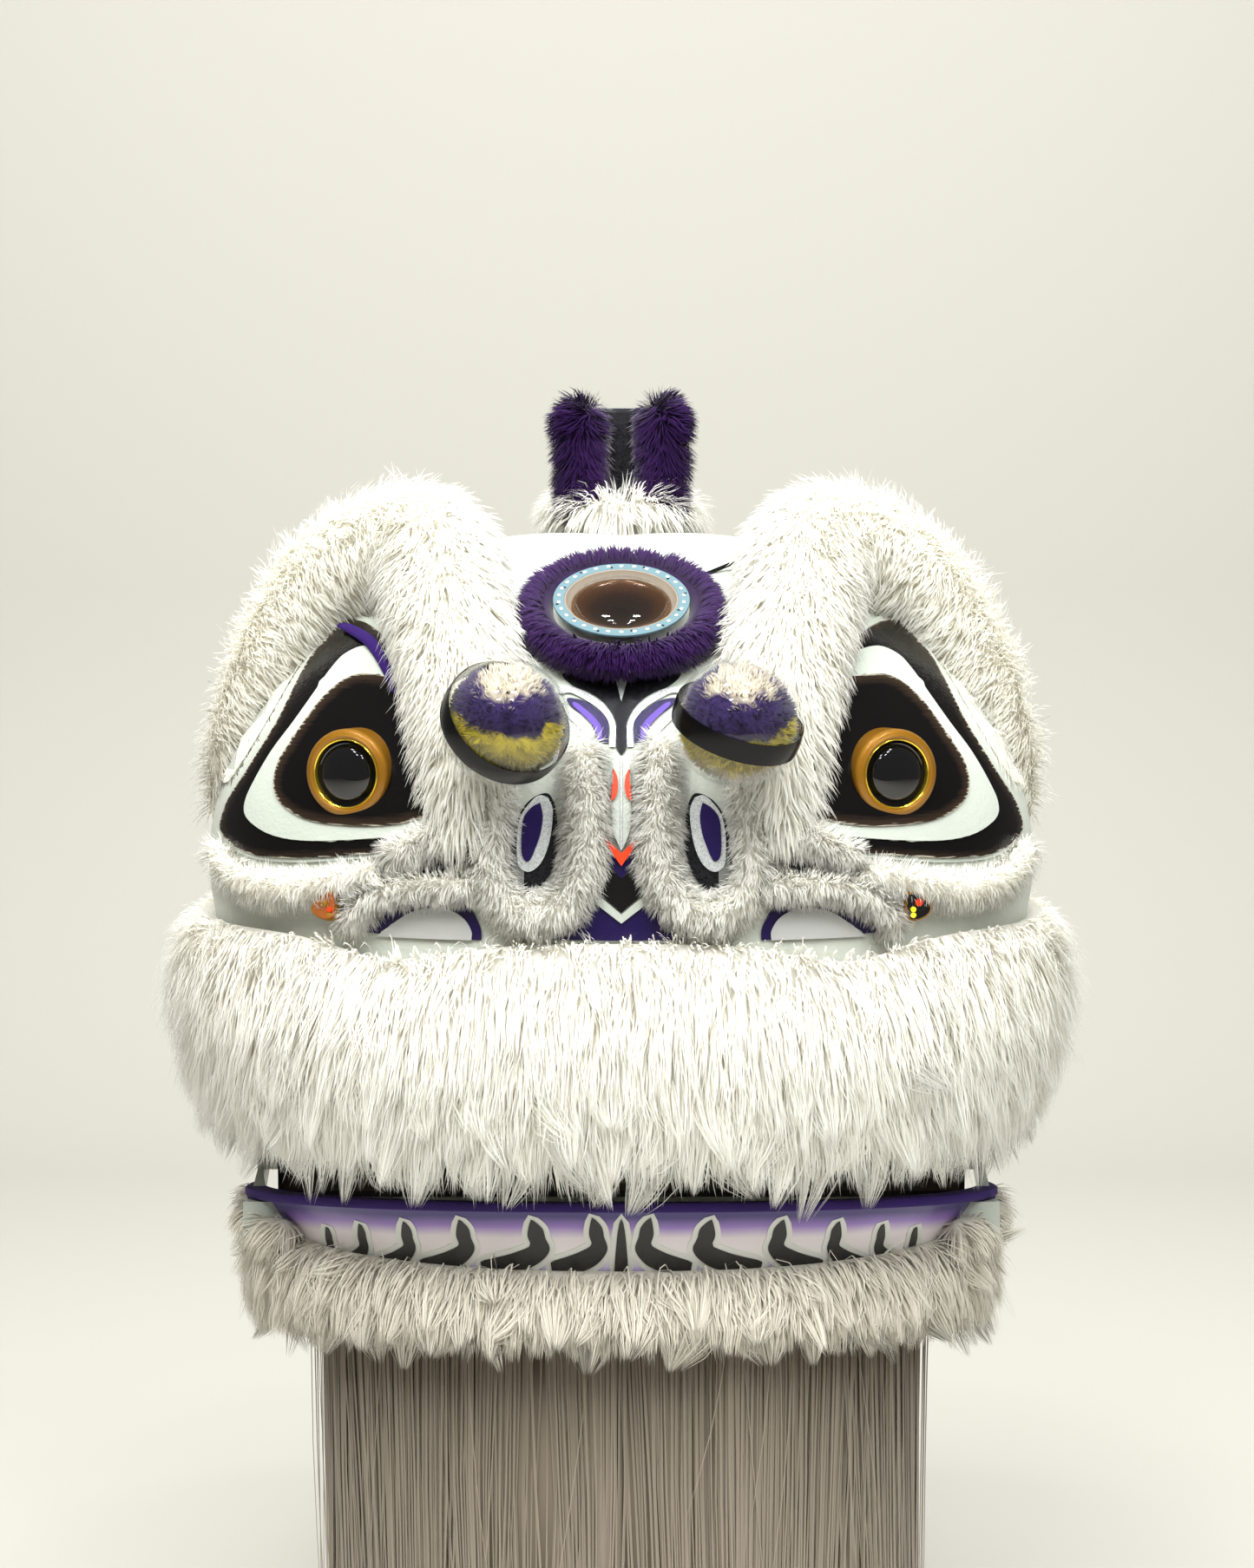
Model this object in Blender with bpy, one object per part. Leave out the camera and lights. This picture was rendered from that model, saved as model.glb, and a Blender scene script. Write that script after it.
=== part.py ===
# Lion dance head: a papier-mache skull on a rattan hoop, with fur brows, eyes, a nose,
# a fringed upper lip, a horn, two clear balls and a hinged lower jaw with its beard.
# Metres, +Z up, the face looks along -Y. The origin is the middle of the carrying bar.
import math

import bmesh
import bpy
from mathutils import Matrix, Vector

# Skull: one smooth surface around a centre, with named swellings
SKULL_CENTRE = Vector((0.0, 0.020, 0.160))
SKULL_HALF_WIDTH = 0.262
SKULL_FRONT_REACH = 0.290
SKULL_BACK_REACH = 0.260
SKULL_RISE = 0.300
SKULL_DROP = 0.400
SKULL_SQUARENESS = 2.4
SKULL_WALL = 0.003
SKULL_SEGMENTS = 26
SKULL_RINGS = 13
# name: azimuth from the front, elevation, spread (degrees), height as a share of SKULL_HALF_WIDTH
SWELLINGS = {
    "brow": (56.0, 54.0, 18.0, 0.070),
    "cheekbone": (62.0, 17.0, 16.0, 0.170),
    "muzzle": (34.0, 2.0, 26.0, 0.070),
}

# Clearance between neighbouring pieces
GAP = 0.0004
# Sides of the mirror's and the eyes' round pieces
ROUND_SIDES = 20

# Base hoop and carrying bar
HOOP_HEIGHT = 0.022
HOOP_THICKNESS = 0.012
HOOP_FRONT_Y = -0.090
HOOP_STEPS = 16
BAR_RADIUS = 0.011

# Mouth opening in the skull
MOUTH_TOP_Z = 0.130
MOUTH_BACK_Y = HOOP_FRONT_Y + HOOP_THICKNESS + 0.004

# Places on the face are (x, z) shares: x of the skull's half width, z of its rise above its centre.
# Fur rolls: path points as such shares, with the roll's radius at each as a share of its pile
TUFT_SHARE = 0.07
ROLL_SIDES = 6
NOSE_LIFT = 0.006
NOSE_PILE = 0.017
CHEEK_LIFT = 0.005
CHEEK_PILE = 0.0145
UNDER_EYE_PILE = 0.016
# The brows fill the room between the eyes and the crown, so their pile follows the skull's width
BROW_PILE = 0.191 * SKULL_HALF_WIDTH
# The brows' path: azimuth and elevation from the skull's centre, then lift and radius as shares of the pile
BROW_FUR = (
    (20.5, 22.0, 0.08, 0.42), (23.0, 33.0, 0.12, 0.62), (31.0, 46.5, 0.22, 0.84), (46.0, 56.5, 0.40, 1.00),
    (65.0, 51.0, 0.42, 1.00), (73.0, 38.5, 0.20, 0.80), (75.0, 28.0, 0.10, 0.58), (76.0, 19.5, 0.04, 0.40),
)
BROW_STEPS = 10
NOSE_FUR = (
    (0.095, 0.540, 0.82), (0.094, 0.427, 1.00), (0.094, 0.307, 1.00), (0.130, 0.220, 0.94),
    (0.214, 0.180, 0.94), (0.302, 0.220, 0.88), (0.328, 0.313, 0.82), (0.309, 0.440, 0.71),
)
NOSE_STEPS = 10
CHEEK_UPPER_FUR = (
    (0.405, 0.373, 0.83), (0.481, 0.340, 0.93), (0.573, 0.307, 0.83),
)
CHEEK_LOWER_FUR = (
    (0.412, 0.213, 0.90), (0.553, 0.197, 1.00), (0.702, 0.157, 0.83),
)
UNDER_EYE_FUR = (
    (0.634, 0.253, 0.81), (0.748, 0.220, 0.94), (0.878, 0.200, 1.00), (1.000, 0.217, 1.00),
    (1.065, 0.267, 0.88),
)

# Upper lip fur: each corner of its section, as a share of its depth off the skull and of its drop
LIP_TOP_Z = 0.198
LIP_DROP = 0.162
LIP_DEPTH = 0.066
LIP_SECTION = {
    "root_top": (0.000, 0.000),
    "crown": (0.455, -0.031),
    "shoulder": (0.818, 0.136),
    "belly": (1.000, 0.420),
    "flank": (0.909, 0.728),
    "tip": (0.727, 1.000),
    "inner": (0.303, 0.852),
    "root_foot": (0.000, 0.531),
}
LIP_SWEEP = 112.0
LIP_LOCKS = 15
LIP_END_RISE = 0.030
LIP_THIN_FROM = 80.0
LOCK_DROP = 0.009

# Jaw, in its own frame: hinge line at the origin, rim level, front along -Y
JAW_HINGE_Y = -0.035
JAW_HINGE_Z = 0.0
JAW_TILT = 9.0
# The rim stands out this far past the skull's half width, and stops this far short of its front
JAW_OVERHANG = 0.018
JAW_SETBACK = 0.038
JAW_HALF_WIDTH = SKULL_HALF_WIDTH + JAW_OVERHANG
JAW_LENGTH = SKULL_FRONT_REACH - JAW_SETBACK
JAW_SQUARENESS = 2.3
JAW_STEPS = 18
JAW_RIM_Z = -0.016
RIM_HEIGHT = 0.006
RIM_WIDTH = 0.020
RIM_TIP = 0.014
PAN_FOOT_Z = -0.066
PAN_HEAD_SHARE = 0.965
PAN_FOOT_SHARE = 0.860
PAN_WALL = 0.003
PAN_BACK_Y = -0.080
JAW_SWEEP_CLEARANCE = 0.011
JAW_SWEEP_TOP = 0.112
JAW_FUR_LOCKS = 12
JAW_FUR_SWEEP = 84.0
JAW_FUR_DROP = 0.060
JAW_FUR_LOCK = 0.009
JAW_FUR_RISE = 0.030
# How far each corner of the skirt's outer face stands off the pan
JAW_FUR_STAND = {"root": 0.0113, "shoulder": 0.0227, "belly": 0.0265, "tip": 0.0214, "under": -0.0106}
JAW_FUR_INNER_SHARE = 0.840
BEARD_OUTER_SHARE = 0.825
BEARD_INNER_SHARE = 0.770
BEARD_SPREAD = 66.0
BEARD_FOOT_Z = -0.420
BEARD_LOCKS = 11
BEARD_LOCK = 0.014
BEARD_SWELL = 0.0012
ARM_GAP = 0.0099
ARM_THICKNESS = 0.004
ARM_FLARE = 0.034
BOSS_RADIUS = 0.0075
BOSS_GAP = 0.0012
# Side view of an arm, as shares of the pan's set-back from the hinge and of its depth
ARM_SIDE = (
    (0.137, 0.152), (-0.100, 0.197), (-0.425, -0.091), (-0.950, -0.356), (-1.475, -0.356),
    (-1.475, -0.727), (-0.800, -0.667), (0.000, -0.212), (0.150, -0.091),
)
PIN_RADIUS = 0.004
PIN_HEAD_RADIUS = 0.007
PIN_HEAD_LENGTH = 0.003

# Eyes
EYE_OUTLINE = (
    (0.706, 0.807), (0.794, 0.753), (0.885, 0.647), (0.977, 0.513), (1.050, 0.387), (1.065, 0.320),
    (1.019, 0.282), (0.916, 0.270), (0.782, 0.273), (0.630, 0.300), (0.527, 0.327), (0.489, 0.373),
    (0.489, 0.500), (0.527, 0.640), (0.603, 0.760),
)
EYE_PLATE = 0.005
# Depth that plates start below the skull's surface, before they are cut back to it
SUNK = -0.010
# The ring's centre as face shares, and how far its front stands before the skull
EYE_PLACE = (0.725, 0.483)
EYE_RING_PROUD = 0.0134
EYE_RING_DEPTH = 0.075
EYE_RING_ROUND = 0.003
EYE_TURN = 14.0
EYE_RING_RADIUS = 0.0300
EYE_RING_BORE = 0.0212
EYEBALL_PROUD = 0.003
LID_PILE = 0.005
LID_EDGE = (
    (0.718, 0.793, 0.80), (0.656, 0.767, 1.00), (0.603, 0.700, 0.90), (0.573, 0.647, 0.70),
)

# Forehead mirror, in its own frame with the light ring's back face at z = 0
MIRROR_PLACE = (0.0, 0.863)
MIRROR_PROUD = 0.0175
MIRROR_ELEVATION = 60.0
LED_RADIUS = 0.0468
LED_WIDTH = 0.0076
LED_BORE = LED_RADIUS - LED_WIDTH
LED_BOARD = 0.0016
DISH_DEPTH = 0.0085
DISH_WALL = 0.0010
LENS_RISE = 0.0110
LENS_WALL = 0.0012
COLLAR_RADIUS = LED_RADIUS + 0.0067
COLLAR_PILE = 0.0190
COLLAR_DROP = 0.0090
COLLAR_LOCKS = 9

# Horn
HORN_Y = 0.030
CROWN_Z = SKULL_CENTRE.z + SKULL_RISE
HORN_SUNK = 0.020
HORN_HEIGHT = 0.116
HORN_FOOT_Z = CROWN_Z - HORN_SUNK
HORN_TOP_Z = HORN_FOOT_Z + HORN_HEIGHT
HORN_LEAN = 0.008
HORN_HALF_WIDTH = 0.022
HORN_HALF_DEPTH = 0.020
HORN_CAP_HALF_WIDTH = 0.013
HORN_CAP_HEIGHT = 0.004
# Half of the heart on the horn's top, as shares of its half width
HEART_OUTLINE = ((0.0, -0.23), (0.46, 0.38), (0.92, 0.31), (1.0, -0.08), (0.0, -0.92))
HORN_STRIP_X = HORN_HALF_WIDTH + 0.0110
HORN_STRIP_PILE = 0.0165
HORN_BASE_RADIUS = HORN_HALF_WIDTH + 0.0150
HORN_BASE_PILE = 0.0200
HORN_BASE_Z = CROWN_Z + 0.008
HORN_STRIP_FOOT_Z = CROWN_Z + 0.027
HORN_STRIP_TOP_Z = HORN_TOP_Z - 0.004

# Clear balls on posts
BALL_RADIUS = 0.042
BALL_WALL = 0.0015
BALL_PLACE = (0.284, 0.617)
BALL_STAND_OFF = 0.0885
BALL_SEGMENTS = 14
BALL_HOLE_RADIUS = 0.0055
POMPOM_RADIUS = 0.0345
TAPE_HALF_ANGLE = 12.0
TAPE_THICKNESS = 0.0006
TAPE_SEGMENTS = 20
TAPE_NORMALS = {"left": (0.42, -0.72, 0.55), "right": (0.28, -0.36, 0.89)}
POST_RADIUS = 0.0050
POST_FOOT = (0.179, 0.540)

# The bridge, as (face share z, share of its half width) rows up the face; nostrils and small ornaments
BRIDGE_ROWS = (
    (0.147, 1.000), (0.190, 0.633), (0.243, 0.233), (0.367, 0.227), (0.500, 0.227),
    (0.573, 0.283), (0.640, 0.400),
)
NOSTRIL_OUTLINE = (
    (0.214, 0.247), (0.248, 0.267), (0.265, 0.320), (0.260, 0.387), (0.235, 0.443), (0.206, 0.457),
    (0.179, 0.420), (0.168, 0.360), (0.172, 0.300), (0.189, 0.257),
)
ORNAMENT_OUTLINE = (
    (0.733, 0.148), (0.760, 0.127), (0.813, 0.135), (0.807, 0.143), (0.760, 0.152),
)
BRIDGE_HALF_WIDTH = 0.030
RELIEF = 0.004
ORNAMENT_RELIEF = 0.010

# End of a thin stick by the mirror
STICK_PLACE = (0.221, 0.920)
STICK_HEADING = (0.030, 0.010, 0.012)
STICK_LENGTH = 0.036
STICK_RADIUS = 0.0014

# Ears
EAR_AZIMUTH = 95.3
EAR_Z_SHARE = 0.507
EAR_STAND_OFF = 0.0224
EAR_HALF_SIZE = (0.018, 0.034, 0.062)
EAR_TURN = (8.0, -24.0, -30.0)

COLOURS = {
    "painted shell": ((0.86, 0.86, 0.84), 0.45, 0.0),
    "rattan": ((0.55, 0.40, 0.22), 0.60, 0.0),
    "white fur": ((0.90, 0.89, 0.85), 0.90, 0.0),
    "purple fur": ((0.12, 0.03, 0.22), 0.90, 0.0),
    "black paint": ((0.02, 0.02, 0.02), 0.25, 0.0),
    "purple paint": ((0.09, 0.03, 0.25), 0.35, 0.0),
    "gold paint": ((0.55, 0.33, 0.05), 0.35, 0.6),
    "black glass": ((0.01, 0.01, 0.01), 0.05, 0.0),
    "mirror metal": ((0.45, 0.30, 0.18), 0.08, 1.0),
    "circuit board": ((0.42, 0.62, 0.72), 0.45, 0.0),
    "clear plastic": ((0.95, 0.95, 0.95), 0.03, 0.0),
    "pompom wool": ((0.60, 0.55, 0.05), 0.95, 0.0),
    "black tape": ((0.02, 0.02, 0.02), 0.30, 0.0),
    "silver paint": ((0.70, 0.70, 0.72), 0.35, 0.8),
    "beard hair": ((0.62, 0.59, 0.54), 0.60, 0.0),
    "steel": ((0.60, 0.60, 0.62), 0.30, 1.0),
}


def clear_scene():
    for obj in list(bpy.data.objects):
        bpy.data.objects.remove(obj, do_unlink=True)


def new_collection(name, hidden=False):
    collection = bpy.data.collections.new(name)
    bpy.context.scene.collection.children.link(collection)
    collection.hide_render = hidden
    return collection


def material(name):
    found = bpy.data.materials.get(name)
    if found:
        return found
    colour, roughness, metallic = COLOURS[name]
    made = bpy.data.materials.new(name)
    made.use_nodes = True
    shader = made.node_tree.nodes["Principled BSDF"]
    shader.inputs["Base Color"].default_value = (*colour, 1.0)
    shader.inputs["Roughness"].default_value = roughness
    shader.inputs["Metallic"].default_value = metallic
    return made


def add_part(name, mesh, finish):
    """A piece of the model: it becomes a node."""
    obj = bpy.data.objects.new(name, mesh)
    PARTS.objects.link(obj)
    obj.data.materials.append(material(finish))
    obj.data.shade_smooth()
    obj.data.set_sharp_from_angle(angle=math.radians(40.0))
    return obj


def add_cutter(name, mesh):
    obj = bpy.data.objects.new(name, mesh)
    CUTTERS.objects.link(obj)
    obj.hide_render = True
    obj.display_type = "WIRE"
    return obj


def boolean(obj, operation, *others):
    for other in others:
        modifier = obj.modifiers.new(operation.title(), "BOOLEAN")
        modifier.operation = operation
        modifier.object = other
        modifier.solver = "EXACT"
    return obj


# The skull's surface

def face_xz(share_x, share_z):
    return share_x * SKULL_HALF_WIDTH, SKULL_CENTRE.z + share_z * SKULL_RISE


def face_outline(table):
    return [face_xz(*row) for row in table]


def direction(azimuth, elevation):
    a, e = math.radians(azimuth), math.radians(elevation)
    return Vector((math.sin(a) * math.cos(e), -math.cos(a) * math.cos(e), math.sin(e)))


def angles(vector):
    d = vector.normalized()
    return math.degrees(math.atan2(d.x, -d.y)), math.degrees(math.asin(max(-1.0, min(1.0, d.z))))


def skull_radius(d):
    """Distance from the centre to the skull's outer surface along the unit direction d."""
    reach_y = SKULL_FRONT_REACH if d.y < 0 else SKULL_BACK_REACH
    reach_z = SKULL_RISE if d.z > 0 else SKULL_DROP
    n = SKULL_SQUARENESS
    total = (abs(d.x) / SKULL_HALF_WIDTH) ** n + (abs(d.y) / reach_y) ** n + (abs(d.z) / reach_z) ** n
    radius = total ** (-1.0 / n)
    mirrored = Vector((abs(d.x), d.y, d.z))
    for azimuth, elevation, spread, share in SWELLINGS.values():
        apart = math.degrees(mirrored.angle(direction(azimuth, elevation)))
        radius += SKULL_HALF_WIDTH * share * math.exp(-0.5 * (apart / spread) ** 2)
    return radius


def outside_skull(point, lift):
    offset = point - SKULL_CENTRE
    return offset.length - skull_radius(offset.normalized()) - lift


def reach(start, heading, lift=0.0, limit=0.7):
    """The point where a ray from inside the skull leaves its surface, raised by lift."""
    low, high = 0.0, limit
    for _ in range(40):
        middle = (low + high) / 2
        if outside_skull(start + heading * middle, lift) > 0:
            high = middle
        else:
            low = middle
    return start + heading * low


def on_face(x, z, lift=0.0):
    """The point of the face in front of (x, z)."""
    return reach(Vector((x, SKULL_CENTRE.y, z)), Vector((0.0, -1.0, 0.0)), lift)


def around_skull(azimuth, z, lift=0.0):
    """The point of the skull at height z in a plan direction."""
    return reach(Vector((0.0, SKULL_CENTRE.y, z)), direction(azimuth, 0.0), lift)


def skull_like(lift):
    """A closed solid like the skull, raised by lift, a length or a function of azimuth and elevation."""
    bm = bmesh.new()
    bmesh.ops.create_uvsphere(bm, u_segments=SKULL_SEGMENTS, v_segments=SKULL_RINGS, radius=1.0)
    for vert in bm.verts:
        d = vert.co.normalized()
        extra = lift(*angles(d)) if callable(lift) else lift
        vert.co = SKULL_CENTRE + d * (skull_radius(d) + extra)
    bmesh.ops.triangulate(bm, faces=bm.faces, quad_method="FIXED")
    return finish_mesh(bm, "skull_like")


def finish_mesh(bm, name):
    bmesh.ops.recalc_face_normals(bm, faces=bm.faces)
    mesh = bpy.data.meshes.new(name)
    bm.to_mesh(mesh)
    bm.free()
    return mesh


# Solids of common kinds

def loft(sections, closed=False, name="loft"):
    """A solid through rings of points, capped at both ends or closed into a loop."""
    bm = bmesh.new()
    rings = [[bm.verts.new(p) for p in ring] for ring in sections]
    pairs = list(zip(rings, rings[1:])) + ([(rings[-1], rings[0])] if closed else [])
    for first, second in pairs:
        count = len(first)
        for i in range(count):
            j = (i + 1) % count
            a, b, c, d = first[i], first[j], second[j], second[i]
            turned_over = (b.co - d.co).length < 0.9 * (a.co - c.co).length
            for corners in ((a, b, d), (b, c, d)) if turned_over else ((a, b, c), (a, c, d)):
                bm.faces.new(corners)
    if not closed:
        bm.faces.new(rings[0])
        bm.faces.new(rings[-1])
    return finish_mesh(bm, name)


def box(low, high, name="box"):
    bm = bmesh.new()
    bmesh.ops.create_cube(bm, size=1.0)
    for vert in bm.verts:
        vert.co = Vector(a if c < 0 else b for a, b, c in zip(low, high, vert.co))
    return finish_mesh(bm, name)


def prism(outline, y_front, y_back, name="prism"):
    """An outline in x and z, drawn out along y."""
    return loft([[Vector((x, y, z)) for x, z in outline] for y in (y_front, y_back)], name=name)


def turned(profile, segments, name="turned"):
    """A solid of revolution about its own z, through (radius, height) points from one end to the other."""
    rings, bm = [], bmesh.new()
    for radius, height in profile:
        if radius < 1e-7:
            rings.append([bm.verts.new((0.0, 0.0, height))])
            continue
        turns = [2 * math.pi * i / segments for i in range(segments)]
        rings.append([bm.verts.new((radius * math.cos(a), radius * math.sin(a), height)) for a in turns])
    loop = rings[0] if len(rings[0]) > 1 and len(rings[-1]) > 1 else None
    for first, second in zip(rings, rings[1:] + ([rings[0]] if loop else [])):
        for i in range(segments):
            j = (i + 1) % segments
            low = [first[i % len(first)], first[j % len(first)]]
            high = [second[j % len(second)], second[i % len(second)]]
            bm.faces.new(list(dict.fromkeys(low + high)))
    return finish_mesh(bm, name)


def smooth_path(points, steps):
    """Points along a Catmull-Rom curve through the given ones."""
    padded = [points[0] * 2 - points[1], *points, points[-1] * 2 - points[-2]]
    spans = len(points) - 1
    made = []
    for i in range(steps + 1):
        t = i / steps * spans
        k = min(int(t), spans - 1)
        u = t - k
        a, b, c, d = padded[k:k + 4]
        squared, cubed = 2 * a - 5 * b + 4 * c - d, 3 * b - a - 3 * c + d
        made.append(0.5 * (2 * b + (c - a) * u + squared * u**2 + cubed * u**3))
    return made


def face_path(table, pile, side, steps, lift=0.0):
    """A smooth path over the face through a fur roll's rows, with the radius at each of its points."""
    spots = smooth_path([Vector((*face_xz(x, z), share * pile)) for x, z, share in table], steps)
    return [(on_face(spot.x * side, spot.y, lift), spot.z) for spot in spots]


def brow_path(side):
    spots = []
    for azimuth, elevation, lift, radius in BROW_FUR:
        way = direction(azimuth * side, elevation)
        spot = SKULL_CENTRE + way * (skull_radius(way) + lift * BROW_PILE)
        spots.append(Vector((*spot, radius * BROW_PILE)))
    return [(spot.xyz, spot.w) for spot in smooth_path(spots, BROW_STEPS)]


def roll(path, spread=0.0, sides=ROLL_SIDES, closed=False, flat=1.0, out_of=None, name="roll"):
    """A fur roll: a tube through (point, radius) pairs whose rings swell and shrink in turn."""
    sections, count = [], len(path)
    for i, (point, radius) in enumerate(path):
        if closed:
            ahead = (path[(i + 1) % count][0] - path[i - 1][0]).normalized()
        else:
            ahead = (path[min(i + 1, count - 1)][0] - path[max(i - 1, 0)][0]).normalized()
        out = point - (out_of or SKULL_CENTRE)
        out = (out - ahead * out.dot(ahead)).normalized()
        side = ahead.cross(out)
        ring_radius = radius * (1.0 + TUFT_SHARE * (1 if i % 2 else -1)) + spread
        turns = [2 * math.pi * (k + 0.5 * (i % 2)) / sides for k in range(sides)]
        spokes = [out * math.cos(a) * flat + side * math.sin(a) for a in turns]
        sections.append([point + spoke * ring_radius for spoke in spokes])
    if not closed:
        first, second = path[0][0], path[1][0]
        before, last = path[-2][0], path[-1][0]
        ends = ((sections[0], first - second, 0), (sections[-1], last - before, count))
        for ring, away, at in ends:
            middle = sum(ring, Vector()) / len(ring)
            radius = (ring[0] - middle).length
            cap = [middle + (p - middle) * 0.55 + away.normalized() * radius * 0.55 for p in ring]
            sections.insert(0 if at == 0 else len(sections), cap)
    return loft(sections, closed=closed, name=name)


# Frame

def skull_shell():
    obj = add_part("skull_shell", skull_like(0.0), "painted shell")
    boolean(obj, "DIFFERENCE", add_cutter("skull_inside", skull_like(-SKULL_WALL)))
    wide, deep = 2 * SKULL_HALF_WIDTH, 2 * SKULL_FRONT_REACH
    seat = HOOP_HEIGHT / 2 + GAP
    below = box((-wide, -deep, -wide), (wide, deep, seat))
    mouth = box((-wide, -deep, -wide), (wide, MOUTH_BACK_Y, MOUTH_TOP_Z))
    boolean(obj, "DIFFERENCE", add_cutter("below_hoop", below), add_cutter("mouth_cut", mouth))


def hoop_outline(inset):
    """Plan of the hoop: it follows the skull's foot, and runs straight across behind the mouth."""
    seat = HOOP_HEIGHT / 2
    corner = 90.0
    while around_skull(corner, seat).y > HOOP_FRONT_Y:
        corner -= 0.5
    sweep = 360.0 - 2 * corner
    arc = [around_skull(corner + sweep * i / HOOP_STEPS, seat) for i in range(HOOP_STEPS + 1)]
    centre = Vector((0.0, (HOOP_FRONT_Y + SKULL_CENTRE.y + SKULL_BACK_REACH) / 2, seat))
    inner = []
    for point in arc:
        step = (centre - point).normalized() * inset
        inner.append(point + step * (1.35 if point in (arc[0], arc[-1]) else 1.0))
    return inner


def base_hoop():
    bm = bmesh.new()
    loops = []
    for inset, level in ((0.0, 1), (0.0, -1), (HOOP_THICKNESS, -1), (HOOP_THICKNESS, 1)):
        loops.append([bm.verts.new((p.x, p.y, level * HOOP_HEIGHT / 2)) for p in hoop_outline(inset)])
    for first, second in zip(loops, loops[1:] + loops[:1]):
        for i in range(len(first)):
            j = (i + 1) % len(first)
            bm.faces.new((first[i], first[j], second[j], second[i]))
    obj = add_part("base_hoop", finish_mesh(bm, "base_hoop"), "rattan")
    for side in (-1, 1):
        hole = cylinder_x(PIN_RADIUS + GAP, *pin_hole_ends(side), JAW_HINGE_Y, JAW_HINGE_Z)
        boolean(obj, "DIFFERENCE", add_cutter(f"hoop_hole_{side}", hole))


def cylinder_x(radius, x0, x1, y, z, sides=10, name="cylinder"):
    rings = []
    for x in (x0, x1):
        turns = [2 * math.pi * (i + 0.5) / sides for i in range(sides)]
        rings.append([Vector((x, y + radius * math.cos(a), z + radius * math.sin(a))) for a in turns])
    return loft(rings, name=name)


def pin_hole_ends(side):
    """Where the hole for a jaw pin starts and ends: inside the hoop and outside the jaw's arm."""
    return 0.76 * SKULL_HALF_WIDTH * side, 1.15 * SKULL_HALF_WIDTH * side


def hoop_inner_x(y):
    """Half the clear width inside the hoop at y."""
    outline = hoop_outline(HOOP_THICKNESS)
    best = 0.0
    for a, b in zip(outline, outline[1:]):
        if a.x >= 0 and b.x >= 0 and min(a.y, b.y) <= y <= max(a.y, b.y) and a.y != b.y:
            best = max(best, a.x + (b.x - a.x) * (y - a.y) / (b.y - a.y))
    return best


def carry_bar():
    half = min(hoop_inner_x(-BAR_RADIUS), hoop_inner_x(BAR_RADIUS)) - GAP
    add_part("carry_bar", cylinder_x(BAR_RADIUS, -half, half, 0.0, 0.0), "rattan")


AROUND = {}


def keep_clear(obj, *names):
    """Cuts obj back from the skull and from the named pieces, leaving a gap."""
    return boolean(obj, "DIFFERENCE", AROUND["skull"], *[AROUND[name] for name in names])


def fur_roll(name, finish, path, clear_of=(), **shape):
    obj = add_part(name, roll(path, name=name, **shape), finish)
    keep_clear(obj, *clear_of)
    AROUND[name] = add_cutter(f"around_{name}", roll(path, spread=1.6 * GAP, name=name, **shape))
    return obj


def face_plate(outline, side, low, high, name):
    """A plate laid on the face: its outline in x and z, between two lifts off the skull."""
    rings = []
    for lift in (low, high):
        rings.append([on_face(x * side, z, lift) for x, z in outline])
    bm = bmesh.new()
    loops = [[bm.verts.new(p) for p in ring] for ring in rings]
    count = len(outline)
    middle_x = sum(x for x, z in outline) / count
    middle_z = sum(z for x, z in outline) / count
    for level, (lift, loop) in enumerate(zip((low, high), loops)):
        half = []
        for x, z in outline:
            half.append(bm.verts.new(on_face((x + middle_x) / 2 * side, (z + middle_z) / 2, lift)))
        centre = bm.verts.new(on_face(middle_x * side, middle_z, lift))
        for i in range(count):
            j = (i + 1) % count
            bm.faces.new((loop[i], loop[j], half[j], half[i]))
            bm.faces.new((half[i], half[j], centre))
    for i in range(count):
        j = (i + 1) % count
        bm.faces.new((loops[0][i], loops[0][j], loops[1][j], loops[1][i]))
    return finish_mesh(bm, name)


def placed(mesh, matrix):
    mesh.transform(matrix)
    if matrix.determinant() < 0:
        mesh.flip_normals()
    return mesh


def pointing(origin, heading):
    """The frame at origin whose z axis runs along heading."""
    return Matrix.Translation(origin) @ Vector(heading).to_track_quat("Z", "Y").to_matrix().to_4x4()


SIDES = (("left", -1), ("right", 1))


# Fur on the face

def face_fur():
    for word, side in SIDES:
        fur_roll(f"brow_fur_{word}", "white fur", brow_path(side), sides=8)
        nose = face_path(NOSE_FUR, NOSE_PILE, side, NOSE_STEPS, NOSE_LIFT)
        fur_roll(f"nose_fur_{word}", "white fur", nose, [f"brow_fur_{word}", "lip_fur"])
        upper = face_path(CHEEK_UPPER_FUR, CHEEK_PILE, side, 3, CHEEK_LIFT)
        clear_of = [f"brow_fur_{word}", f"nose_fur_{word}"]
        fur_roll(f"cheek_fur_upper_{word}", "white fur", upper, clear_of)
        under = face_path(UNDER_EYE_FUR, UNDER_EYE_PILE, side, 6, CHEEK_LIFT)
        clear_of = [f"cheek_fur_upper_{word}", "lip_fur"]
        fur_roll(f"under_eye_fur_{word}", "white fur", under, clear_of)
        lower = face_path(CHEEK_LOWER_FUR, CHEEK_PILE, side, 4, CHEEK_LIFT)
        clear_of = [f"nose_fur_{word}", f"under_eye_fur_{word}", f"cheek_fur_upper_{word}", "lip_fur"]
        fur_roll(f"cheek_fur_lower_{word}", "white fur", lower, clear_of)


# Eyes

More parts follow.
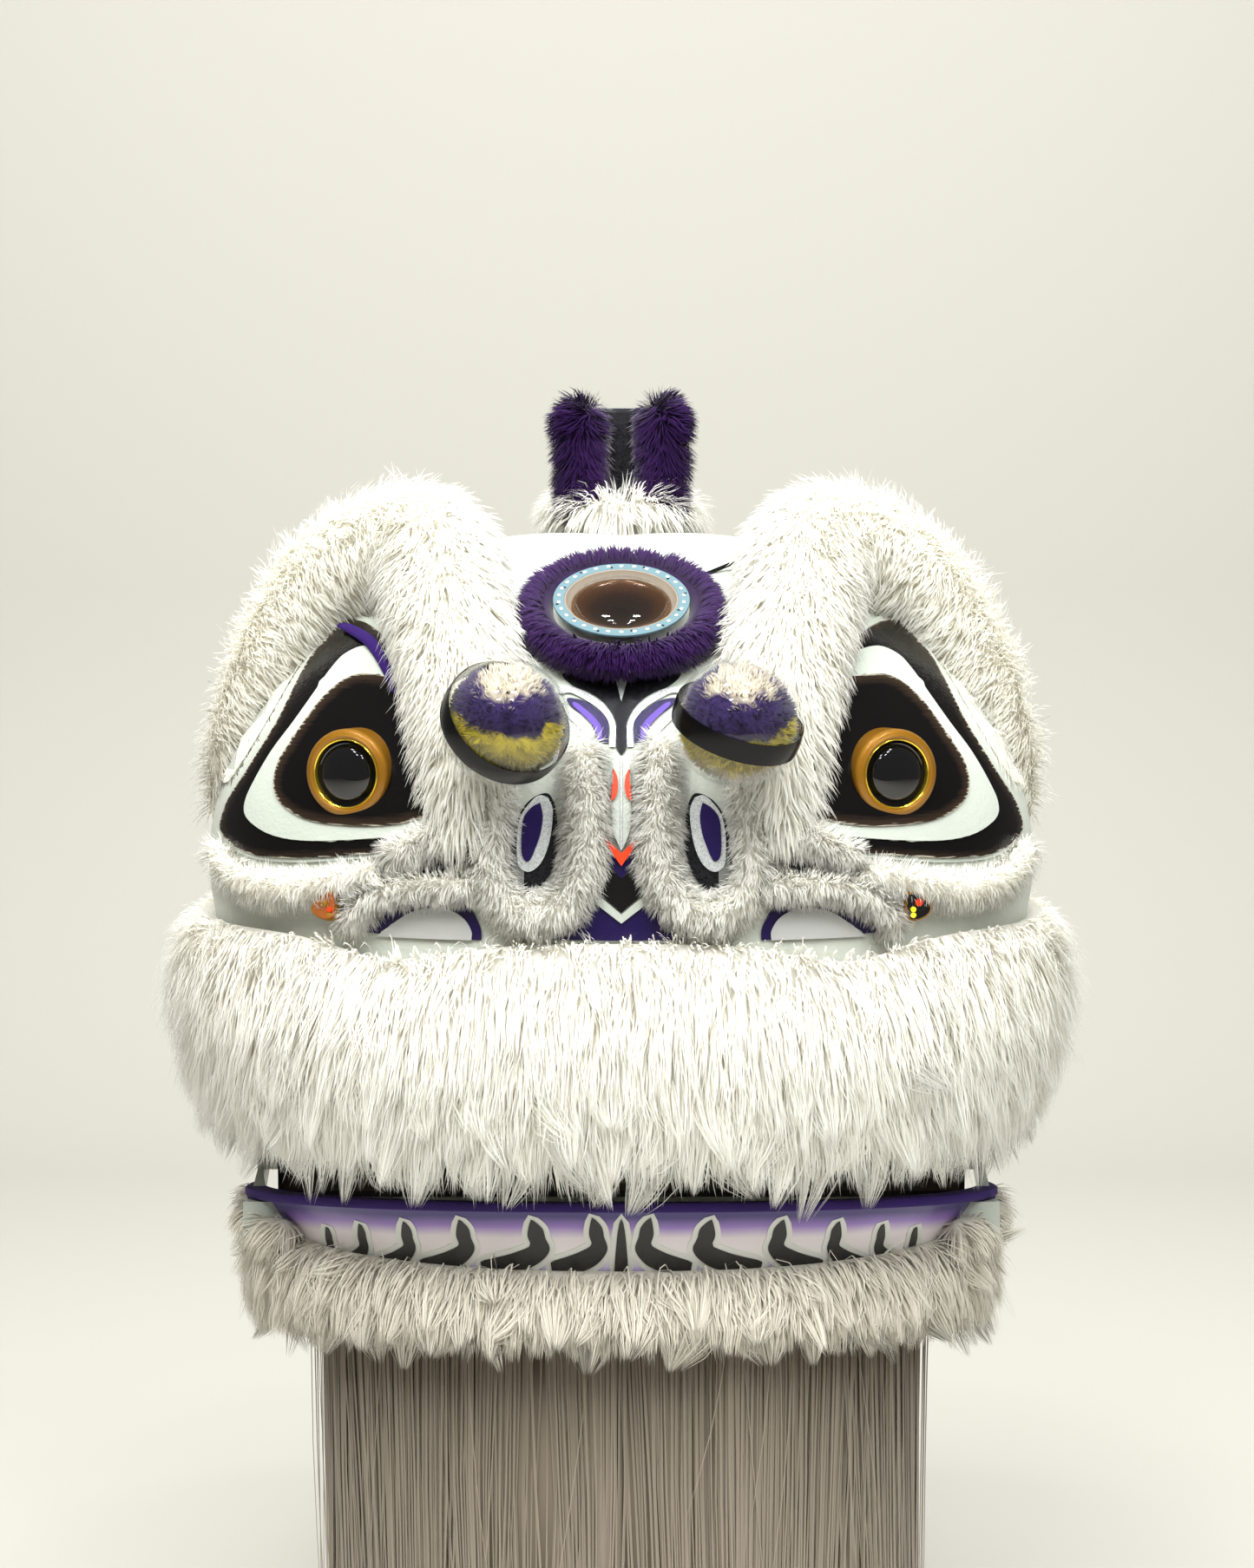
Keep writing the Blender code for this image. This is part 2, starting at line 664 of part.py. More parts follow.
def eyes():
    for word, side in SIDES:
        outline = face_outline(EYE_OUTLINE)
        mesh = face_plate(outline, side, SUNK, EYE_PLATE, f"eye_plate_{word}")
        plate = add_part(f"eye_plate_{word}", mesh, "black paint")
        keep_clear(plate, f"brow_fur_{word}", f"under_eye_fur_{word}", f"cheek_fur_upper_{word}")
        turn = math.radians(EYE_TURN) * side
        heading = Vector((math.sin(turn), -math.cos(turn), 0.0))
        eye_x, eye_z = face_xz(*EYE_PLACE)
        seat = on_face(eye_x * side, eye_z)
        frame = pointing(seat - Vector((0.0, EYE_RING_PROUD, 0.0)), heading)
        outer, bore, depth = EYE_RING_RADIUS, EYE_RING_BORE, EYE_RING_DEPTH
        rim = EYE_RING_ROUND
        profile = [(outer - rim / 3, -depth), (outer, -1.3 * rim), (outer - rim, 0.0), (bore + rim, 0.0)]
        tube = placed(turned([*profile, (bore, -rim), (bore, -depth)], ROUND_SIDES), frame)
        around = face_plate(outline, side, SUNK, EYE_PLATE + 1.5 * GAP, "around_eye")
        AROUND[f"eye_plate_{word}"] = add_cutter(f"around_eye_{word}", around)
        keep_clear(add_part(f"eye_ring_{word}", tube, "gold paint"), f"eye_plate_{word}")
        ball = bore - GAP
        top = EYEBALL_PROUD
        dome = [(ball, -depth), (ball, -2 * top), (ball * 0.86, -0.67 * top)]
        dome += [(ball * 0.5, 0.5 * top), (0.0, top)]
        mesh = placed(turned([(0.0, -depth), *dome], ROUND_SIDES), frame)
        keep_clear(add_part(f"eyeball_{word}", mesh, "black glass"), f"eye_plate_{word}")
    path = face_path(LID_EDGE, LID_PILE, -1, 5, EYE_PLATE)
    fur_roll("lid_edge_left", "purple fur", path, ["eye_plate_left", "brow_fur_left"])


# Forehead

def mirror_frame():
    e = math.radians(MIRROR_ELEVATION)
    seat = on_face(*face_xz(*MIRROR_PLACE)) - Vector((0.0, MIRROR_PROUD, 0.0))
    return pointing(seat, Vector((0.0, -math.cos(e), math.sin(e))))


def bowl(radius, rise, wall, lip_radius, lip, segments):
    """A shallow bowl or dome of revolution, rise along z, with an optional flat lip."""
    outer, inner, steps = [], [], 4
    for i in range(steps + 1):
        a = math.pi / 2 * i / steps
        outer.append((radius * math.sin(a), rise * math.cos(a)))
        inner.append(((radius - wall) * math.sin(a), (rise - math.copysign(wall, rise)) * math.cos(a)))
    edge = [(lip_radius, 0.0), (lip_radius, lip)] if lip_radius else []
    inner[-1] = (radius - wall, 0.0 if not edge else lip)
    return turned([*outer, *edge, *reversed(inner)], segments)


def mirror():
    frame = mirror_frame()
    dish = bowl(LED_BORE - 2 * GAP, -DISH_DEPTH, DISH_WALL, LED_RADIUS - GAP, 0.0009, ROUND_SIDES)
    add_part("mirror_dish", placed(dish, frame @ Matrix.Translation((0, 0, -0.0013))), "mirror metal")
    board = [(LED_BORE, 0.0), (LED_RADIUS, 0.0), (LED_RADIUS, LED_BOARD), (LED_BORE, LED_BOARD)]
    add_part("light_ring", placed(turned(board, ROUND_SIDES), frame), "circuit board")
    lens = bowl(LED_BORE - GAP, LENS_RISE, LENS_WALL, 0.0, 0.0, ROUND_SIDES)
    add_part("mirror_lens", placed(lens, frame), "clear plastic")
    path = []
    for i in range(2 * COLLAR_LOCKS):
        a = 2 * math.pi * i / (2 * COLLAR_LOCKS)
        spot = Vector((math.cos(a) * COLLAR_RADIUS, math.sin(a) * COLLAR_RADIUS, -COLLAR_DROP))
        path.append((frame @ spot, COLLAR_PILE))
    middle = frame @ Vector((0.0, 0.0, -COLLAR_DROP))
    collar = add_part("mirror_collar", roll(path, closed=True, out_of=middle), "purple fur")
    AROUND["mirror_collar"] = add_cutter("around_collar", roll(path, 1.6 * GAP, closed=True, out_of=middle))
    reach_in = LED_RADIUS + 2 * GAP
    core = [(0.0, -LED_RADIUS), (reach_in, -LED_RADIUS), (reach_in, LED_RADIUS), (0.0, LED_RADIUS)]
    AROUND["mirror_core"] = add_cutter("mirror_core", placed(turned(core, ROUND_SIDES), frame))
    keep_clear(collar, "mirror_core", "brow_fur_left", "brow_fur_right")


# Horn

def horn_core(spread):
    sections = []
    middle_z = (HORN_FOOT_Z + HORN_TOP_Z) / 2
    for z, share, lean in ((HORN_FOOT_Z, 1.15, 0.0), (middle_z, 1.0, 0.25), (HORN_TOP_Z, 0.95, 1.0)):
        ring = []
        for i in range(12):
            a = 2 * math.pi * (i + 0.5) / 12
            x = math.copysign(abs(math.cos(a)) ** 0.6, math.cos(a)) * (HORN_HALF_WIDTH * share + spread)
            y = math.copysign(abs(math.sin(a)) ** 0.6, math.sin(a)) * (HORN_HALF_DEPTH * share + spread)
            ring.append(Vector((x, HORN_Y - lean * HORN_LEAN + y, z + (spread if z == HORN_TOP_Z else 0.0))))
        sections.append(ring)
    return loft(sections, name="horn_core")


def horn():
    keep_clear(add_part("horn_core", horn_core(0.0), "black paint"))
    AROUND["horn_core"] = add_cutter("around_horn", horn_core(GAP))
    path = []
    for i in range(12):
        a = 2 * math.pi * i / 12
        spot = (HORN_BASE_RADIUS * math.cos(a), HORN_Y + HORN_BASE_RADIUS * 0.85 * math.sin(a), HORN_BASE_Z)
        path.append((Vector(spot), HORN_BASE_PILE))
    centre = Vector((0.0, HORN_Y, HORN_BASE_Z))
    clear_of = ["horn_core", "mirror_collar", "brow_fur_left", "brow_fur_right"]
    fur_roll("horn_base_fur", "white fur", path, clear_of, closed=True, out_of=centre)
    for word, side in SIDES:
        foot = Vector((HORN_STRIP_X * side, HORN_Y - 0.90 * HORN_HALF_DEPTH, HORN_STRIP_FOOT_Z))
        head = Vector((HORN_STRIP_X * side * 1.05, HORN_Y - 1.20 * HORN_HALF_DEPTH, HORN_STRIP_TOP_Z))
        path = [(foot.lerp(head, i / 4), HORN_STRIP_PILE) for i in range(5)]
        shape = {"out_of": Vector((0.0, HORN_Y + 5.0 * HORN_HALF_DEPTH, (foot.z + head.z) / 2))}
        fur_roll(f"horn_fur_{word}", "purple fur", path, ["horn_core", "horn_base_fur"], **shape)
    heart = [*HEART_OUTLINE, *[(-x, y) for x, y in reversed(HEART_OUTLINE[1:-1])]]
    seat = Vector((0.0, HORN_Y - HORN_LEAN, HORN_TOP_Z + GAP))
    ring = [seat + Vector((x, y, 0.0)) * HORN_CAP_HALF_WIDTH for x, y in heart]
    cap = loft([ring, [p + Vector((0, 0, HORN_CAP_HEIGHT)) for p in ring]], name="horn_cap")
    obj = add_part("horn_cap", cap, "silver paint")
    boolean(obj, "DIFFERENCE", AROUND["horn_fur_left"], AROUND["horn_fur_right"])


# Nose, nostrils and ornaments

def nose():
    for word, side in SIDES:
        mesh = face_plate(face_outline(NOSTRIL_OUTLINE), side, SUNK, RELIEF, "nostril")
        cup = add_part(f"nostril_{word}", mesh, "black paint")
        keep_clear(cup, f"nose_fur_{word}", f"brow_fur_{word}")
        mesh = face_plate(face_outline(ORNAMENT_OUTLINE), side, SUNK, ORNAMENT_RELIEF, "ornament")
        stone = add_part(f"mouth_ornament_{word}", mesh, "gold paint")
        keep_clear(stone, f"cheek_fur_lower_{word}", f"under_eye_fur_{word}", "lip_fur")
    sections = []
    for share_z, share_x in BRIDGE_ROWS:
        z, half = face_xz(0.0, share_z)[1], share_x * BRIDGE_HALF_WIDTH
        low = [on_face(x, z, SUNK) for x in (half, 0.0, -half)]
        high = [on_face(-half, z, RELIEF), on_face(0.0, z, 1.8 * RELIEF), on_face(half, z, RELIEF)]
        sections.append([*high, *low])
    bridge = add_part("nose_bridge", loft(sections, name="nose_bridge"), "silver paint")
    keep_clear(bridge, "nose_fur_left", "nose_fur_right", "lip_fur", "mirror_collar")
    start = on_face(*face_xz(*STICK_PLACE))
    way = Vector(STICK_HEADING).normalized()
    low, high = -0.1 * STICK_LENGTH, 0.9 * STICK_LENGTH
    stick = turned([(0.0, low), (STICK_RADIUS, low), (STICK_RADIUS, high), (0.0, high)], 8)
    obj = add_part("feeler_stick", placed(stick, pointing(start, way)), "black tape")
    keep_clear(obj, "brow_fur_right", "mirror_collar")


# Clear balls

def balls():
    for word, side in SIDES:
        ball_x, ball_z = face_xz(*BALL_PLACE)
        centre = on_face(ball_x * side, ball_z) - Vector((0.0, BALL_STAND_OFF, 0.0))
        foot_x, foot_z = face_xz(*POST_FOOT)
        foot = on_face(foot_x * side, foot_z, GAP)
        way = foot - centre
        frame = pointing(centre, way)
        outer, inner, hole = [], [], math.asin(BALL_HOLE_RADIUS / BALL_RADIUS)
        steps = BALL_SEGMENTS // 2
        for i in range(steps + 1):
            a = hole + (math.pi - hole) * i / steps
            outer.append((BALL_RADIUS * math.sin(a), BALL_RADIUS * math.cos(a)))
            inner.append(((BALL_RADIUS - BALL_WALL) * math.sin(a), (BALL_RADIUS - BALL_WALL) * math.cos(a)))
        outer[-1], inner[-1] = (0.0, outer[-1][1]), (0.0, inner[-1][1])
        shell = lathe_loop([*outer, *reversed(inner)], BALL_SEGMENTS)
        add_part(f"ball_shell_{word}", placed(shell, frame), "clear plastic")
        bm = bmesh.new()
        bmesh.ops.create_icosphere(bm, subdivisions=2, radius=POMPOM_RADIUS)
        wool = placed(finish_mesh(bm, "pompom"), frame)
        add_part(f"ball_pompom_{word}", wool, "pompom wool")
        start, end = POMPOM_RADIUS + GAP, way.length + 0.010
        post = turned([(0.0, start), (POST_RADIUS, start), (POST_RADIUS, end), (0.0, end)], 10)
        obj = add_part(f"ball_post_{word}", placed(post, frame), "steel")
        keep_clear(obj, f"nose_fur_{word}", f"brow_fur_{word}")
        half, band = math.radians(TAPE_HALF_ANGLE), []
        low = BALL_RADIUS / math.cos(math.pi / TAPE_SEGMENTS) / math.cos(half / 2) + GAP
        high = low + TAPE_THICKNESS
        for radius, turns in ((low, (-1, 0, 1)), (high, (1, 0, -1))):
            band += [(radius * math.cos(half * t), radius * math.sin(half * t)) for t in turns]
        tape = placed(turned(band, TAPE_SEGMENTS), pointing(centre, TAPE_NORMALS[word]))
        obj = add_part(f"ball_tape_{word}", tape, "black tape")
        wide, far = POST_RADIUS + 2 * GAP, way.length
        hole = turned([(0.0, 0.0), (wide, 0.0), (wide, far), (0.0, far)], 10)
        boolean(obj, "DIFFERENCE", add_cutter(f"post_way_{word}", placed(hole, frame)))


def lathe_loop(profile, segments):
    """A shell of revolution whose profile turns back on itself at a pole, leaving a hole at its start."""
    bm = bmesh.new()
    rings = []
    for radius, height in profile:
        turns = [2 * math.pi * i / segments for i in range(segments)] if radius > 1e-7 else [0.0]
        rings.append([bm.verts.new((radius * math.cos(a), radius * math.sin(a), height)) for a in turns])
    for first, second in zip(rings, rings[1:] + rings[:1]):
        if len(first) == len(second) == 1:
            continue
        for i in range(segments):
            j = (i + 1) % segments
            low = [first[i % len(first)], first[j % len(first)]]
            high = [second[j % len(second)], second[i % len(second)]]
            bm.faces.new(list(dict.fromkeys(low + high)))
    return finish_mesh(bm, "shell")


def ears():
    ear_z = face_xz(0.0, EAR_Z_SHARE)[1]
    centre = around_skull(EAR_AZIMUTH, ear_z) + direction(EAR_AZIMUTH, 0.0) * EAR_STAND_OFF
    for word, side in SIDES:
        bm = bmesh.new()
        bmesh.ops.create_uvsphere(bm, u_segments=12, v_segments=8, radius=1.0)
        for vert in bm.verts:
            tuft = 1.0 + TUFT_SHARE * math.cos(5.0 * math.atan2(vert.co.y, vert.co.z)) * abs(vert.co.x)
            vert.co = Vector(c * h * tuft for c, h in zip(vert.co, EAR_HALF_SIZE))
        turn = Matrix.Identity(4)
        for angle, axis in zip(EAR_TURN, "XYZ"):
            turn = Matrix.Rotation(math.radians(angle), 4, axis) @ turn
        mirror_x = Matrix.Diagonal((side, 1.0, 1.0, 1.0))
        mesh = finish_mesh(bm, "ear")
        placed(mesh, mirror_x @ Matrix.Translation(centre) @ turn)
        keep_clear(add_part(f"ear_{word}", mesh, "white fur"), f"brow_fur_{word}", "lip_fur")


# Upper lip fur

def lip_fur_mesh(spread):
    sections, count = [], 2 * LIP_LOCKS
    for i in range(count + 1):
        azimuth = LIP_SWEEP * (2 * i / count - 1)
        lock = LOCK_DROP * (1 if i % 2 else -1)
        thin = 1.0 - 0.45 * max(0.0, (abs(azimuth) - LIP_THIN_FROM) / (LIP_SWEEP - LIP_THIN_FROM)) ** 2
        ring = []
        for corner, (depth, drop) in LIP_SECTION.items():
            lift, z = depth * LIP_DEPTH, LIP_TOP_Z - drop * LIP_DROP
            if corner == "tip":
                z += lock
            if corner in ("tip", "inner"):
                z += LIP_END_RISE * (1.0 - thin)
            if corner in ("flank", "belly"):
                lift += lock * 0.2
            grow = spread if depth > 0 else 0.0
            ring.append(around_skull(azimuth, z + (grow if drop < 0.6 else -grow), lift * thin + grow))
        sections.append(ring)
    return loft(sections, name="lip_fur")


def jaw_spot(turn, share, z):
    """A point of the jaw's outline in its own frame: turn 0 is the front, 90 the side."""
    s, c = math.sin(math.radians(turn)), math.cos(math.radians(turn))
    power = 2.0 / JAW_SQUARENESS
    x = math.copysign(abs(s) ** power, s) * JAW_HALF_WIDTH * share
    return Vector((x, -abs(c) ** power * JAW_LENGTH * share, z))


def jaw_to_row():
    hinge = Matrix.Translation((0.0, JAW_HINGE_Y, JAW_HINGE_Z))
    return hinge @ Matrix.Rotation(-math.radians(JAW_TILT), 4, "X")


def lip():
    obj = add_part("lip_fur", lip_fur_mesh(0.0), "white fur")
    wide = JAW_HALF_WIDTH + JAW_SWEEP_CLEARANCE
    share = 1.0 + JAW_SWEEP_CLEARANCE / JAW_LENGTH
    rings = []
    for z in (-0.05, JAW_SWEEP_TOP):
        ring = []
        for i in range(JAW_STEPS + 1):
            spot = jaw_spot(-90.0 + 180.0 * i / JAW_STEPS, share, 0.0)
            ring.append(Vector((spot.x * wide / (JAW_HALF_WIDTH * share), spot.y + JAW_HINGE_Y, z)))
        back = 0.02
        rings.append([*ring, Vector((wide, back, z)), Vector((-wide, back, z))])
    boolean(keep_clear(obj), "DIFFERENCE", add_cutter("jaw_sweep", loft(rings, name="jaw_sweep")))
    AROUND["lip_fur"] = add_cutter("around_lip", lip_fur_mesh(2 * GAP))


# Jaw

def jaw_turns(limit=90.0, steps=JAW_STEPS):
    return [limit * (2 * i / steps - 1) for i in range(steps + 1)]


def pan_solid(spread, head_z, foot_z, inset=0.0):
    """The pan's outer form as a solid, cut straight across at the back."""
    rings = []
    for z in (foot_z, head_z):
        run = (JAW_RIM_Z - RIM_HEIGHT - z) / (JAW_RIM_Z - RIM_HEIGHT - PAN_FOOT_Z)
        share = PAN_HEAD_SHARE + (PAN_FOOT_SHARE - PAN_HEAD_SHARE) * run + (spread - inset) / JAW_LENGTH
        ring = [jaw_spot(turn, share, z) for turn in jaw_turns()]
        back = PAN_BACK_Y + spread - inset
        ring = [Vector((p.x, min(p.y, back), p.z)) for p in ring]
        kept = [p for p in ring if p.y < back - 1e-6]
        edge = kept[-1].lerp(jaw_spot(90.0, share, z), 0.25)
        kept = [Vector((-edge.x, back, z)), *kept, Vector((edge.x, back, z))]
        rings.append(kept)
    count = min(len(ring) for ring in rings)
    rings = [ring if len(ring) == count else ring[:1] + ring[2:-2] + ring[-1:] for ring in rings]
    return loft(rings, name="pan")


def jaw():
    frame = jaw_to_row()
    head = JAW_RIM_Z - RIM_HEIGHT - GAP
    pan = add_part("jaw_pan", placed(pan_solid(0.0, head, PAN_FOOT_Z), frame), "painted shell")
    hollow = pan_solid(0.0, head + 0.004, PAN_FOOT_Z + PAN_WALL, inset=PAN_WALL)
    boolean(pan, "DIFFERENCE", add_cutter("pan_hollow", placed(hollow, frame)))
    around = placed(pan_solid(3 * GAP, head + GAP, PAN_FOOT_Z - 2 * GAP), frame)
    AROUND["jaw_pan"] = add_cutter("around_pan", around)
    hoop_x = around_skull(90.0, HOOP_HEIGHT / 2).x
    arm_x = hoop_x + ARM_GAP
    back, deep = -PAN_BACK_Y, -PAN_FOOT_Z
    for word, side in SIDES:
        arms = []
        for grow in (0.0, 3 * GAP):
            rings = []
            for x, flare in ((arm_x - grow, ARM_FLARE), (arm_x + ARM_THICKNESS + grow, 0.0)):
                ring = []
                for share_y, share_z in ARM_SIDE:
                    y, z = share_y * back, share_z * deep
                    if grow:
                        y, z = (y + 0.625 * back) * 1.04 - 0.625 * back, (z + 0.3 * deep) * 1.15 - 0.3 * deep
                    inward = flare * max(0.0, -y / back - 0.775) / 0.7
                    ring.append(Vector(((x - inward) * side, y, z)))
                rings.append(ring)
            arms.append(placed(loft(rings, name="arm"), frame))
        ends = (hoop_x + BOSS_GAP) * side, (arm_x + ARM_THICKNESS / 4) * side
        boss = cylinder_x(BOSS_RADIUS, *ends, JAW_HINGE_Y, JAW_HINGE_Z)
        boolean(pan, "UNION", add_cutter(f"arm_{word}", arms[0]), add_cutter(f"boss_{word}", boss))
        AROUND[f"arm_{word}"] = add_cutter(f"around_arm_{word}", arms[1])
        hole = cylinder_x(PIN_RADIUS + GAP, *pin_hole_ends(side), JAW_HINGE_Y, JAW_HINGE_Z)
        boolean(pan, "DIFFERENCE", add_cutter(f"pan_hole_{word}", hole))
        inside = hoop_x - HOOP_THICKNESS - 0.002
        outside = arm_x + ARM_THICKNESS + GAP
        profile = [(0.0, inside), (PIN_RADIUS, inside), (PIN_RADIUS, outside), (PIN_HEAD_RADIUS, outside)]
        profile += [(PIN_HEAD_RADIUS, outside + PIN_HEAD_LENGTH), (0.0, outside + PIN_HEAD_LENGTH)]
        way = pointing(Vector((0.0, JAW_HINGE_Y, JAW_HINGE_Z)), Vector((side, 0.0, 0.0)))
        add_part(f"jaw_pin_{word}", placed(turned(profile, 10), way), "steel")
    jaw_rim(frame)
    jaw_fur(frame)
    beard(frame)


def jaw_rim(frame):
    rings = []
    z_top, z_foot = JAW_RIM_Z, JAW_RIM_Z - RIM_HEIGHT
    for turn in jaw_turns(90.0, JAW_STEPS + 2):
        outer = jaw_spot(turn, 1.0, z_top)
        taper = 1.0 - 0.80 * (abs(turn) / 90.0) ** 6
        inner = jaw_spot(turn, 1.0 - RIM_WIDTH * taper / JAW_LENGTH, z_top)
        tip = RIM_TIP * (abs(turn) / 90.0) ** 12
        ring = []
        for spot, z in ((outer, z_top), (inner, z_top), (inner, z_foot), (outer, z_foot)):
            ring.append(Vector((spot.x, spot.y + tip, z)))
        rings.append(ring)
    rim = add_part("jaw_rim", placed(loft(rings, name="jaw_rim"), frame), "purple fur")
    boolean(rim, "DIFFERENCE", AROUND["arm_left"], AROUND["arm_right"])


def jaw_fur(frame):
    sections, count = [], 2 * JAW_FUR_LOCKS
    for i in range(count + 1):
        turn = JAW_FUR_SWEEP * (2 * i / count - 1)
        lock = JAW_FUR_LOCK * (1 if i % 2 else -1)
        rise = (turn / JAW_FUR_SWEEP) ** 2
        top = PAN_FOOT_Z + 0.07 * JAW_FUR_DROP + JAW_FUR_RISE * rise
        drop = JAW_FUR_DROP * (1.0 - 0.27 * rise)
        wall_height = JAW_RIM_Z - RIM_HEIGHT - PAN_FOOT_Z
        wall = PAN_FOOT_SHARE + (PAN_HEAD_SHARE - PAN_FOOT_SHARE) * (top - PAN_FOOT_Z) / wall_height
        share = {corner: wall + stand / JAW_LENGTH for corner, stand in JAW_FUR_STAND.items()}
        ring = [
            jaw_spot(turn, share["under"], top - 0.02 * JAW_FUR_DROP),
            jaw_spot(turn, share["root"], top - 0.07 * JAW_FUR_DROP),
            jaw_spot(turn, share["shoulder"], top - 0.43 * JAW_FUR_DROP),
            jaw_spot(turn, share["belly"], PAN_FOOT_Z - drop * 0.55),
            jaw_spot(turn, share["tip"], PAN_FOOT_Z - drop + lock),
            jaw_spot(turn, JAW_FUR_INNER_SHARE, PAN_FOOT_Z - drop * 0.5),
            jaw_spot(turn, JAW_FUR_INNER_SHARE, PAN_FOOT_Z),
        ]
        sections.append(ring)
    fur = add_part("jaw_fur", placed(loft(sections, name="jaw_fur"), frame), "white fur")
    boolean(fur, "DIFFERENCE", AROUND["jaw_pan"], AROUND["arm_left"], AROUND["arm_right"])


def beard(frame):
    sections, count = [], 2 * BEARD_LOCKS
    for i in range(count + 1):
        turn = BEARD_SPREAD * (2 * i / count - 1)
        lock = BEARD_LOCK * (1 if i % 2 else -1) * (1.0 + 0.4 * math.sin(2.7 * i))
        outer = frame @ jaw_spot(turn, BEARD_OUTER_SHARE, PAN_FOOT_Z - 1.5 * GAP)
        inner = frame @ jaw_spot(turn, BEARD_INNER_SHARE, PAN_FOOT_Z - 1.5 * GAP)
        swell = BEARD_SWELL * (1 if i % 2 else -1)
        ring = [outer]
        for level in (0.35, 0.7):
            z = outer.z + (BEARD_FOOT_Z - outer.z) * level
            ring.append(Vector((outer.x, outer.y - swell, z)))
        middle = (outer + inner) / 2
        ring.append(Vector((middle.x, middle.y, BEARD_FOOT_Z + lock)))
        for level in (0.7, 0.35):
            z = inner.z + (BEARD_FOOT_Z - inner.z) * level
            ring.append(Vector((inner.x, inner.y + swell, z)))
        ring.append(inner)
        sections.append(ring)
    add_part("beard", loft(sections, name="beard"), "beard hair")


PARTS = None
CUTTERS = None


def main():
    global PARTS, CUTTERS
    clear_scene()
    PARTS = new_collection("lion_dance_head")
    CUTTERS = new_collection("cutters", hidden=True)
    skull_shell()
    base_hoop()
    carry_bar()
    AROUND["skull"] = add_cutter("around_skull", skull_like(GAP))
    lip()
    face_fur()
    eyes()
    mirror()
    horn()
    nose()
    balls()
    ears()
    jaw()


main()
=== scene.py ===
# Lion dance head: white and violet fur, painted paper shell, glass eyes, clear balls and a bearded jaw.
import math

import bmesh
import bpy
import numpy as np
from mathutils import Matrix, Vector
from mathutils.kdtree import KDTree


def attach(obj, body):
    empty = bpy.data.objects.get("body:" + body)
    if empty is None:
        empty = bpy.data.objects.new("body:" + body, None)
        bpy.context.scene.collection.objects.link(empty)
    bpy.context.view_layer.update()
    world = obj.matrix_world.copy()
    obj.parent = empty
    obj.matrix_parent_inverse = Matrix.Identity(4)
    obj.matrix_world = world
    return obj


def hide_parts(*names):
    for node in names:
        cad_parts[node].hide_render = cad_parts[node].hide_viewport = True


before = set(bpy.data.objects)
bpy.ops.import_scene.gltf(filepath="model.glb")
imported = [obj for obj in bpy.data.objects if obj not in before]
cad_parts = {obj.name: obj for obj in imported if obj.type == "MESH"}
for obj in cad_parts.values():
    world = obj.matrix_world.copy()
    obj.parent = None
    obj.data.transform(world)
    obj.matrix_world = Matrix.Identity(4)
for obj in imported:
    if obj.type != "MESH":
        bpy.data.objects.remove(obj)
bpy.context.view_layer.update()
print("frame loaded")

# Camera: almost level, a little above the eyes, as for a portrait on a table
cameraSettings = {"target": (0.0, -0.1, 0.286), "distance": 2.2, "elevation": 5.0, "lens": 70.7,
                  "shiftX": 0.0036}


def placeCamera(s):
    lift = math.radians(s["elevation"])
    away = Vector((0.0, -math.cos(lift), math.sin(lift)))
    data = bpy.data.cameras.new("camera")
    data.sensor_fit = "VERTICAL"
    data.sensor_height = 36.0
    data.lens = s["lens"]
    data.shift_x = s["shiftX"]
    data.clip_end = 50.0
    camera = bpy.data.objects.new("camera", data)
    camera.location = Vector(s["target"]) + away * s["distance"]
    camera.rotation_euler = away.to_track_quat("Z", "Y").to_euler()
    bpy.context.collection.objects.link(camera)
    bpy.context.scene.camera = camera


placeCamera(cameraSettings)

# Materials


def toLinear(hexColour):
    parts = [int(hexColour[i:i + 2], 16) / 255.0 for i in (1, 3, 5)]
    return tuple(c / 12.92 if c <= 0.04045 else ((c + 0.055) / 1.055) ** 2.4 for c in parts) + (1.0,)


def addNode(mat, kind, settings=None, inputs=None, stops=(), to=None, output=0):
    # settings are the node's own properties, inputs are socket values or sockets to link from,
    # stops are a ramp's colours, and the output is linked to the socket in to
    node = mat.node_tree.nodes.new("ShaderNode" + kind)
    for key, value in (settings or {}).items():
        setattr(node, key, value)
    for key, value in (inputs or {}).items():
        if isinstance(value, bpy.types.NodeSocket):
            mat.node_tree.links.new(value, node.inputs[key])
        else:
            node.inputs[key].default_value = value
    if stops:
        elements = node.color_ramp.elements
        while len(elements) < len(stops):
            elements.new(0.5)
        for element, (position, colour) in zip(elements, stops):
            element.position = position
            element.color = toLinear(colour)
    if to is not None:
        mat.node_tree.links.new(node.outputs[output], to)
    return node


def newMaterial(name, **sockets):
    mat = bpy.data.materials.new(name)
    mat.use_nodes = True
    shader = mat.node_tree.nodes["Principled BSDF"]
    for key, value in sockets.items():
        shader.inputs[key.replace("_", " ")].default_value = value
    return mat, shader


multiply = {"data_type": "RGBA", "blend_type": "MULTIPLY"}


